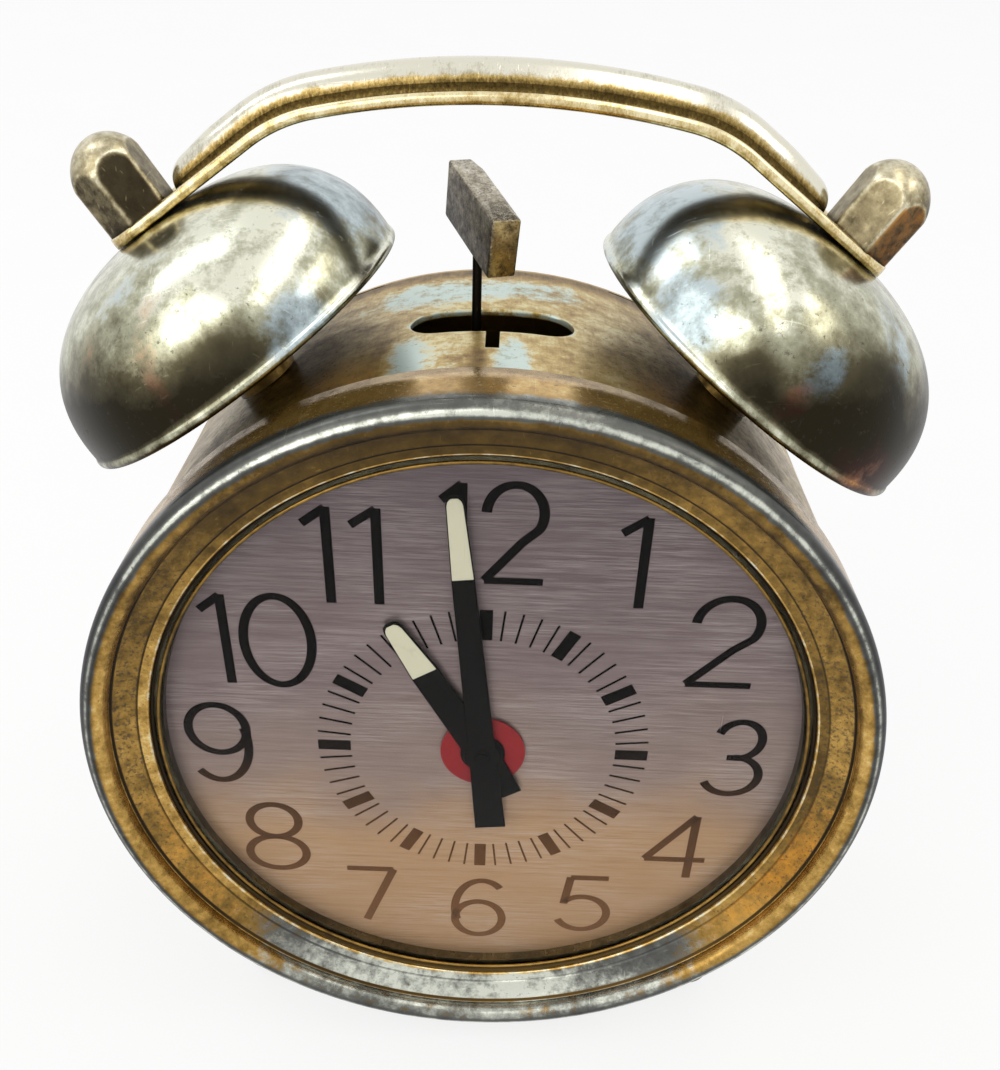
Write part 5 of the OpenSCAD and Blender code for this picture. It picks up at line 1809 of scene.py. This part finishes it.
@dataclass(frozen=True)
class Hand:
    """A flat hand with a bevelled edge, a round boss and a luminous strip."""

    name: str
    body: str
    stations: tuple[tuple[float, float], ...]
    lume: tuple[tuple[float, float], ...]
    boss: float
    turn: float
    front: float
    thick: float = 0.3
    glow: float = 0.1

    def blade(self, stations: tuple, front: float, back: float, bevel: float) -> Array:
        """A bar whose half width follows its stations, bevelled along its front edges.

        Args:
            stations: Pairs of distance from the hub and half width.
            front: Level of the front face.
            back: Level of the back face.
            bevel: Size of the bevel.

        Returns:
            Points of shape (rows, 8, 3), before the hand is turned to its hour.
        """
        place = np.array(stations)
        rows = np.concatenate([place[:1], place[:1], place[1:-1], place[-1:], place[-1:]])
        rows[[1, -2], 0] += np.array([bevel, -bevel])
        shrink = np.array([bevel, 0] + [0] * (len(place) - 2) + [0, bevel])
        width = (rows[:, 1] - shrink * 0.5)[:, None]
        narrow = width - bevel
        across = np.concatenate([width, width, narrow, -narrow, -width, -width], axis=1)
        edge = front + bevel * 0.7
        depth = np.broadcast_to([back, edge, front, front, edge, back], across.shape).copy()
        depth[[0, -1]] = np.maximum(depth[[0, -1]], edge)
        along = np.broadcast_to(rows[:, :1], across.shape)
        return capped(np.stack([across, depth, along], axis=-1))

    def hub(self) -> Array:
        """The boss: a bevelled disc with a small raised collar."""
        b, f, back = self.boss, self.front, self.front + self.thick
        profile = np.array(
            [[0, f - 0.25], [1.0, f - 0.25], [1.15, f - 0.15], [1.2, f - 0.02],
             [b - 0.15, f - 0.02], [b, f + 0.12], [b, back], [0, back]]
        )
        return turned(profile, 64)

    def posed(self, points: Array) -> Array:
        """Turns points clockwise to the hand's hour, about Y."""
        return Axes((0.0, 0.0, 0.0), self.turn).case(points)

    def build(self) -> None:
        """Builds the hand and its strip."""
        back = self.front + self.thick
        blade = grid(self.posed(self.blade(self.stations, self.front, back, 0.12)), loop_cols=True)
        both = join(blade, grid(self.hub(), loop_rows=True))
        hand, lume = (f"{self.name}_hand",), (f"{self.name}_lume",)
        Piece(f"{self.name}_blade", Finish.BLACK, self.body, "black_paint", hand, 30.0).make(both)
        strip = self.blade(self.lume, self.front - self.glow, self.front + 0.05, 0.07)
        strip = grid(self.posed(strip), loop_cols=True)
        Piece(f"{self.name}_glow", Finish.LUME, self.body, "luminous_paint", lume, 30.0).make(strip)


@dataclass(frozen=True)
class Figure:
    """One numeral: its characters, place on the dial, size, and each character's share of it."""

    text: str
    radius: float
    hour_angle: float
    width: float
    height: float
    spans: tuple[tuple[float, float], ...] = ((0.0, 1.0),)


@dataclass(frozen=True)
class DialPrint:
    """Numerals and minute marks, printed on the dial."""

    stroke: float = 0.98
    stem: float = 0.34
    thick: float = 0.05
    mark_in: float = 19.1
    mark_out: float = 23.8
    figures: tuple[Figure, ...] = (
        Figure("12", 34.9, 1, 14.3, 14.3, ((0.0, 0.27), (0.38, 1.0))),
        Figure("1", 36.2, 30, 4.4, 13.9),
        Figure("2", 37.6, 58, 10.3, 14.7),
        Figure("3", 36.6, 90, 8.9, 14.5),
        Figure("4", 35.6, 121, 10.8, 14.2),
        Figure("5", 36.3, 152, 9.3, 13.3),
        Figure("6", 33.9, 180, 9.1, 14.0),
        Figure("7", 36.0, -151, 8.7, 13.0),
        Figure("8", 37.1, -121, 10.2, 14.7),
        Figure("9", 38.1, -90.7, 9.6, 15.0),
        Figure("10", 35.3, -60, 15.8, 15.2, ((0.0, 0.27), (0.34, 1.0))),
        Figure("11", 36.1, -31, 10.6, 14.7, ((0.0, 0.41), (0.57, 1.0))),
    )

    @staticmethod
    def oval(x: float, y: float, rx: float, ry: float, start: float, end: float) -> Array:
        """Part of an oval: (x + rx cos a, y + ry sin a), a in degrees."""
        turn = np.radians(np.linspace(start, end, 48))
        return np.stack([x + rx * np.cos(turn), y + ry * np.sin(turn)], axis=-1)

    @classmethod
    def strokes(cls, character: str) -> list[Array]:
        """The pen strokes of a character in a box from 0 to 1.

        Args:
            character: A digit.

        Returns:
            Lines of points [x, y].
        """
        line, whole = np.array, (0, 360)
        hook = [cls.oval(0.49, 0.71, 0.47, 0.29, 178, -32), line([[0.62, 0.42], [0, 0]])]
        shapes = {
            "0": [cls.oval(0.5, 0.5, 0.5, 0.5, *whole)],
            "1": [line([[1, 0], [1, 1]]), line([[0, 0.83], [1, 0.99]])],
            "2": [np.concatenate(hook), line([[0, 0], [1, 0]])],
            "3": [
                cls.oval(0.5, 0.755, 0.42, 0.245, 160, -95),
                cls.oval(0.47, 0.262, 0.53, 0.262, 92, -158),
                line([[0.32, 0.515], [0.55, 0.515]]),
            ],
            "4": [
                line([[0.74, 0], [0.74, 1]]),
                line([[0.74, 1], [0, 0.3]]),
                line([[0, 0.3], [1, 0.3]]),
            ],
            "5": [
                line([[0.96, 1], [0.2, 1]]),
                line([[0.2, 1], [0.1, 0.5]]),
                cls.oval(0.48, 0.32, 0.52, 0.32, 140, -155),
            ],
            "6": [
                cls.oval(0.5, 0.31, 0.5, 0.31, *whole),
                cls.oval(0.56, 0.5, 0.56, 0.5, 205, 48),
            ],
            "7": [line([[0, 1], [1, 1]]), line([[1, 1], [0.36, 0]])],
            "8": [
                cls.oval(0.5, 0.755, 0.42, 0.245, *whole),
                cls.oval(0.5, 0.255, 0.5, 0.255, *whole),
            ],
            "9": [
                cls.oval(0.5, 0.69, 0.5, 0.31, *whole),
                cls.oval(0.44, 0.5, 0.56, 0.5, 25, -132),
            ],
        }
        return shapes[character]

    def ribbon(self, path: Array, width: float, stem: float = 0.0) -> Patch:
        """A flat line of ink along a path, raised by its thickness.

        Args:
            path: Points [x, z] on the dial.
            width: Width of the line where it runs level.
            stem: What is added to the width where the line runs straight up.

        Returns:
            The ribbon, closed all round.
        """
        along = np.gradient(path, axis=0)
        along = along / np.linalg.norm(along, axis=1, keepdims=True)
        wide = width + stem * np.abs(along[:, 1:]) ** 1.5
        side = np.stack([-along[:, 1], along[:, 0]], axis=-1) * wide / 2
        rows = []
        for offset, level in ((1, 0.02), (1, -self.thick), (-1, -self.thick), (-1, 0.02)):
            place = path + offset * side
            rows.append(np.stack([place[:, 0], np.full(len(path), level), place[:, 1]], axis=-1))
        return grid(capped(np.stack(rows, axis=1)), loop_cols=True)

    def numeral(self, figure: Figure) -> list[Patch]:
        """The ribbons of one numeral, each character scaled to its share of the width.

        Args:
            figure: The numeral.

        Returns:
            Its ribbons.
        """
        turn = math.radians(figure.hour_angle)
        centre = figure.radius * np.array([math.sin(turn), math.cos(turn)])
        room = np.array([self.stroke + self.stem, self.stroke])
        patches = []
        for character, (low, high) in zip(figure.text, figure.spans):
            size = np.array([(high - low) * figure.width, figure.height]) - room
            corner = centre + np.array([(low - 0.5) * figure.width, -figure.height / 2])
            for stroke in self.strokes(character):
                line = corner + room / 2 + stroke * size
                patches.append(self.ribbon(line, self.stroke, self.stem))
        return patches

    def marks(self) -> list[Patch]:
        """The sixty minute marks, every fifth of them thick."""
        patches = []
        for minute in range(60):
            turn = math.radians(6 * minute)
            direction = np.array([math.sin(turn), math.cos(turn)])
            path = np.stack([direction * self.mark_in, direction * self.mark_out])
            patches.append(self.ribbon(path, 1.75 if minute % 5 == 0 else 0.3))
        return patches

    def build(self) -> None:
        """Builds the print as one piece."""
        patches = self.marks()
        for figure in self.figures:
            patches += self.numeral(figure)
        Piece("dial_figures", Finish.INK, "case", "black_paint").make(join(*patches))


def dress_frame() -> None:
    """Gives every CAD node that stays its finish."""
    dress(Finish.BACK, "back_cover")
    dress(Finish.DIAL, "dial_plate")
    dress(Finish.RING, "dial_ring")
    dress(Finish.RED, "alarm_disc")
    dress(Finish.BLACK, "minute_arbor")
    # Dark brass on the posts and legs paints the shade under the bells.
    dress(Finish.POST, "left_bell_post", "right_bell_post", "left_leg", "right_leg")
    dress(Finish.KEY, "time_key", "alarm_key", "set_knob", "alarm_set_knob", "alarm_stop")
    dress(Finish.MOVEMENT, "front_plate", "back_plate", "cannon_pinion", "minute_wheel")
    dress(Finish.MOVEMENT, "hour_wheel", "alarm_wheel", "centre_wheel", "time_great_wheel")
    dress(Finish.MOVEMENT, "third_wheel", "fourth_wheel", "escape_wheel", "balance_wheel")
    dress(Finish.MOVEMENT, "alarm_great_wheel", "alarm_escape_wheel")
    dress(Finish.STEEL, "back_cover_screws", "stud_nuts", "pillars", "pillar_nuts")
    dress(Finish.STEEL, "alarm_set_arbor", "time_arbor", "time_ratchet", "time_click")
    dress(Finish.STEEL, "pallet_lever", "regulator_lever", "alarm_arbor", "alarm_ratchet")
    dress(Finish.STEEL, "alarm_click", "hammer_arbor", "release_spring")
    dress(Finish.SPRING, "time_mainspring", "alarm_mainspring", "hairspring")


@dataclass(frozen=True)
class Lamp:
    """A soft rectangular lamp, placed in the row's frame in metres."""

    name: str
    at: tuple[float, float, float]
    aim: tuple[float, float, float]
    size: tuple[float, float]
    watts: float
    tint: str

    def build(self) -> None:
        """Makes the lamp: its width runs level, and it faces the point that it aims at."""
        data = bpy.data.lights.new(self.name, "AREA")
        data.shape = "RECTANGLE"
        data.size, data.size_y = self.size
        data.energy = self.watts
        data.color = paint(self.tint)[:3]
        away = np.array(self.at) - np.array(self.aim)
        away = away / np.linalg.norm(away)
        side = np.cross([0.0, 0.0, 1.0], away)
        side = side / np.linalg.norm(side)
        axes = np.stack([side, np.cross(away, side), away], axis=1)
        stand(put_in_scene(self.name, data), axes, self.at)


# Studio


@dataclass(frozen=True)
class Studio:
    """A pale floor, soft lamps, a white surround and the camera."""

    focal: float = 1080.4
    view_size: tuple[float, float] = (1000.0, 1070.0)
    axis_at: tuple[float, float] = (494.0, 753.0)
    azimuth: float = -0.03
    elevation: float = 40.08
    roll: float = 2.05
    place: tuple[float, float, float] = (1.57, -120.0, 100.33)
    sensor: float = 36.0
    floor_half: float = 4.0
    floor_whitened: float = 0.8
    sky: tuple[float, float, float, float] = (0.96, 0.98, 1.0, 1.0)
    sky_strength: float = 0.62
    lamps: tuple[Lamp, ...] = (
        Lamp("long_lamp", (0.3, -0.08, 1.2), (0.0, -0.08, 0.06), (1.3, 0.26), 2.1, "#fffaf2"),
        Lamp("cross_lamp", (-0.85, 0.35, 1.1), (-0.85, 0.0, 0.06), (1.0, 0.3), 1.9, "#f6f9ff"),
        Lamp("side_lamp", (0.78, -0.05, 0.9), (0.0, -0.05, 0.06), (0.6, 0.24), 1.0, "#fff8ec"),
        Lamp("soft_lamp", (-0.9, -1.0, 1.0), (0.0, 0.0, 0.06), (1.6, 1.6), 10.0, "#fffdf8"),
    )

    def camera(self) -> None:
        """Makes the camera: its axes are turned in the case's frame and leaned with the case."""
        az, el, roll = (math.radians(v) for v in (self.azimuth, self.elevation, self.roll))
        back = np.array([math.sin(az) * math.cos(el), -math.cos(az) * math.cos(el), math.sin(el)])
        right = np.array([math.cos(az), math.sin(az), 0.0])
        up = np.cross(back, right)
        level = right * math.cos(roll) + up * math.sin(roll)
        above = up * math.cos(roll) - right * math.sin(roll)
        wide, high = self.view_size
        data = bpy.data.cameras.new("photo_view")
        data.sensor_fit = "HORIZONTAL"
        data.sensor_width = self.sensor
        data.lens = self.focal / wide * self.sensor
        data.shift_x = (wide / 2 - self.axis_at[0]) / wide
        data.shift_y = (self.axis_at[1] - high / 2) / wide
        data.clip_start = 0.01
        data.clip_end = 20.0
        camera = put_in_scene("photo_view", data)
        axes = LEAN.turn(np.stack([level, above, back]))
        stand(camera, axes.T, LEAN.row(np.array(self.place)))
        bpy.context.scene.camera = camera

    def floor(self) -> None:
        """Makes the floor: a wide sheet, pale, that brightens to white away from the shadow."""
        mesh = bpy.data.meshes.new("pale_floor")
        signs = ((-1, -1), (1, -1), (1, 1), (-1, 1))
        corners = [(x * self.floor_half, y * self.floor_half, 0.0) for x, y in signs]
        mesh.from_pydata(corners, [], [(0, 1, 2, 3)])
        bench = Bench("pale_floor")
        grain = bench.rise(bench.noise(bench.where(), 30.0, 4.0), 0.4, 0.7)
        colour = bench.mix(grain, "#fafaf9", "#fdfdfc")
        plain = bench.surface({"Base Color": colour, "Roughness": 0.9})
        white = bench.node("ShaderNodeEmission", {}, {"Color": WHITE, "Strength": 1.0})
        share = bench.backdrop_rays() * self.floor_whitened
        shaders = {0: share, 1: plain, 2: white}
        mesh.materials.append(bench.done(bench.node("ShaderNodeMixShader", {}, shaders)))
        put_in_scene("pale_floor", mesh)

    def surround(self) -> None:
        """Makes the world: white to the eye and in reflections, and a soft light elsewhere."""
        bench = Bench("surround", world=True)
        sky = {"Color": self.sky, "Strength": self.sky_strength}
        soft = bench.node("ShaderNodeBackground", {}, sky)
        white = bench.node("ShaderNodeBackground", {}, {"Color": WHITE, "Strength": 1.0})
        shaders = {0: bench.backdrop_rays(), 1: soft, 2: white}
        bpy.context.scene.world = bench.done(bench.node("ShaderNodeMixShader", {}, shaders))

    def build(self) -> None:
        """Sets up the whole studio."""
        self.camera()
        self.floor()
        self.surround()
        for lamp in self.lamps:
            lamp.build()
        bpy.context.scene.view_settings.view_transform = "Standard"


def main() -> None:
    """Builds the studio and the clock."""
    logging.basicConfig(level=logging.INFO, format="%(message)s")
    Studio().build()
    Drum().build()
    Bezel().build()
    CrystalDome().build()
    for side in Side:
        bell = Bell(side)
        bell.build()
        AcornNut(bell).build()
    Handle().build()
    Hammer().build()
    Hand(
        name="minute", body="minute", boss=2.6, turn=-6.0, front=-1.65,
        stations=((-14, 2.3), (0, 1.95), (29.3, 1.5), (39.8, 1.15), (40.5, 0.95), (40.8, 0.6)),
        lume=((29.3, 1.38), (39.5, 1.02), (40.1, 0.85), (40.5, 0.5)),
    ).build()
    Hand(
        name="hour", body="hour", boss=3.2, turn=-30.5, front=-1.05,
        stations=((-8.8, 1.6), (0, 2.3), (16.1, 2.05), (24.2, 1.35), (24.9, 1.1), (25.2, 0.7)),
        lume=((16.1, 1.85), (23.9, 1.2), (24.5, 0.95), (24.85, 0.6)),
    ).build()
    DialPrint().build()
    dress_frame()


if __name__ == "__main__":
    main()
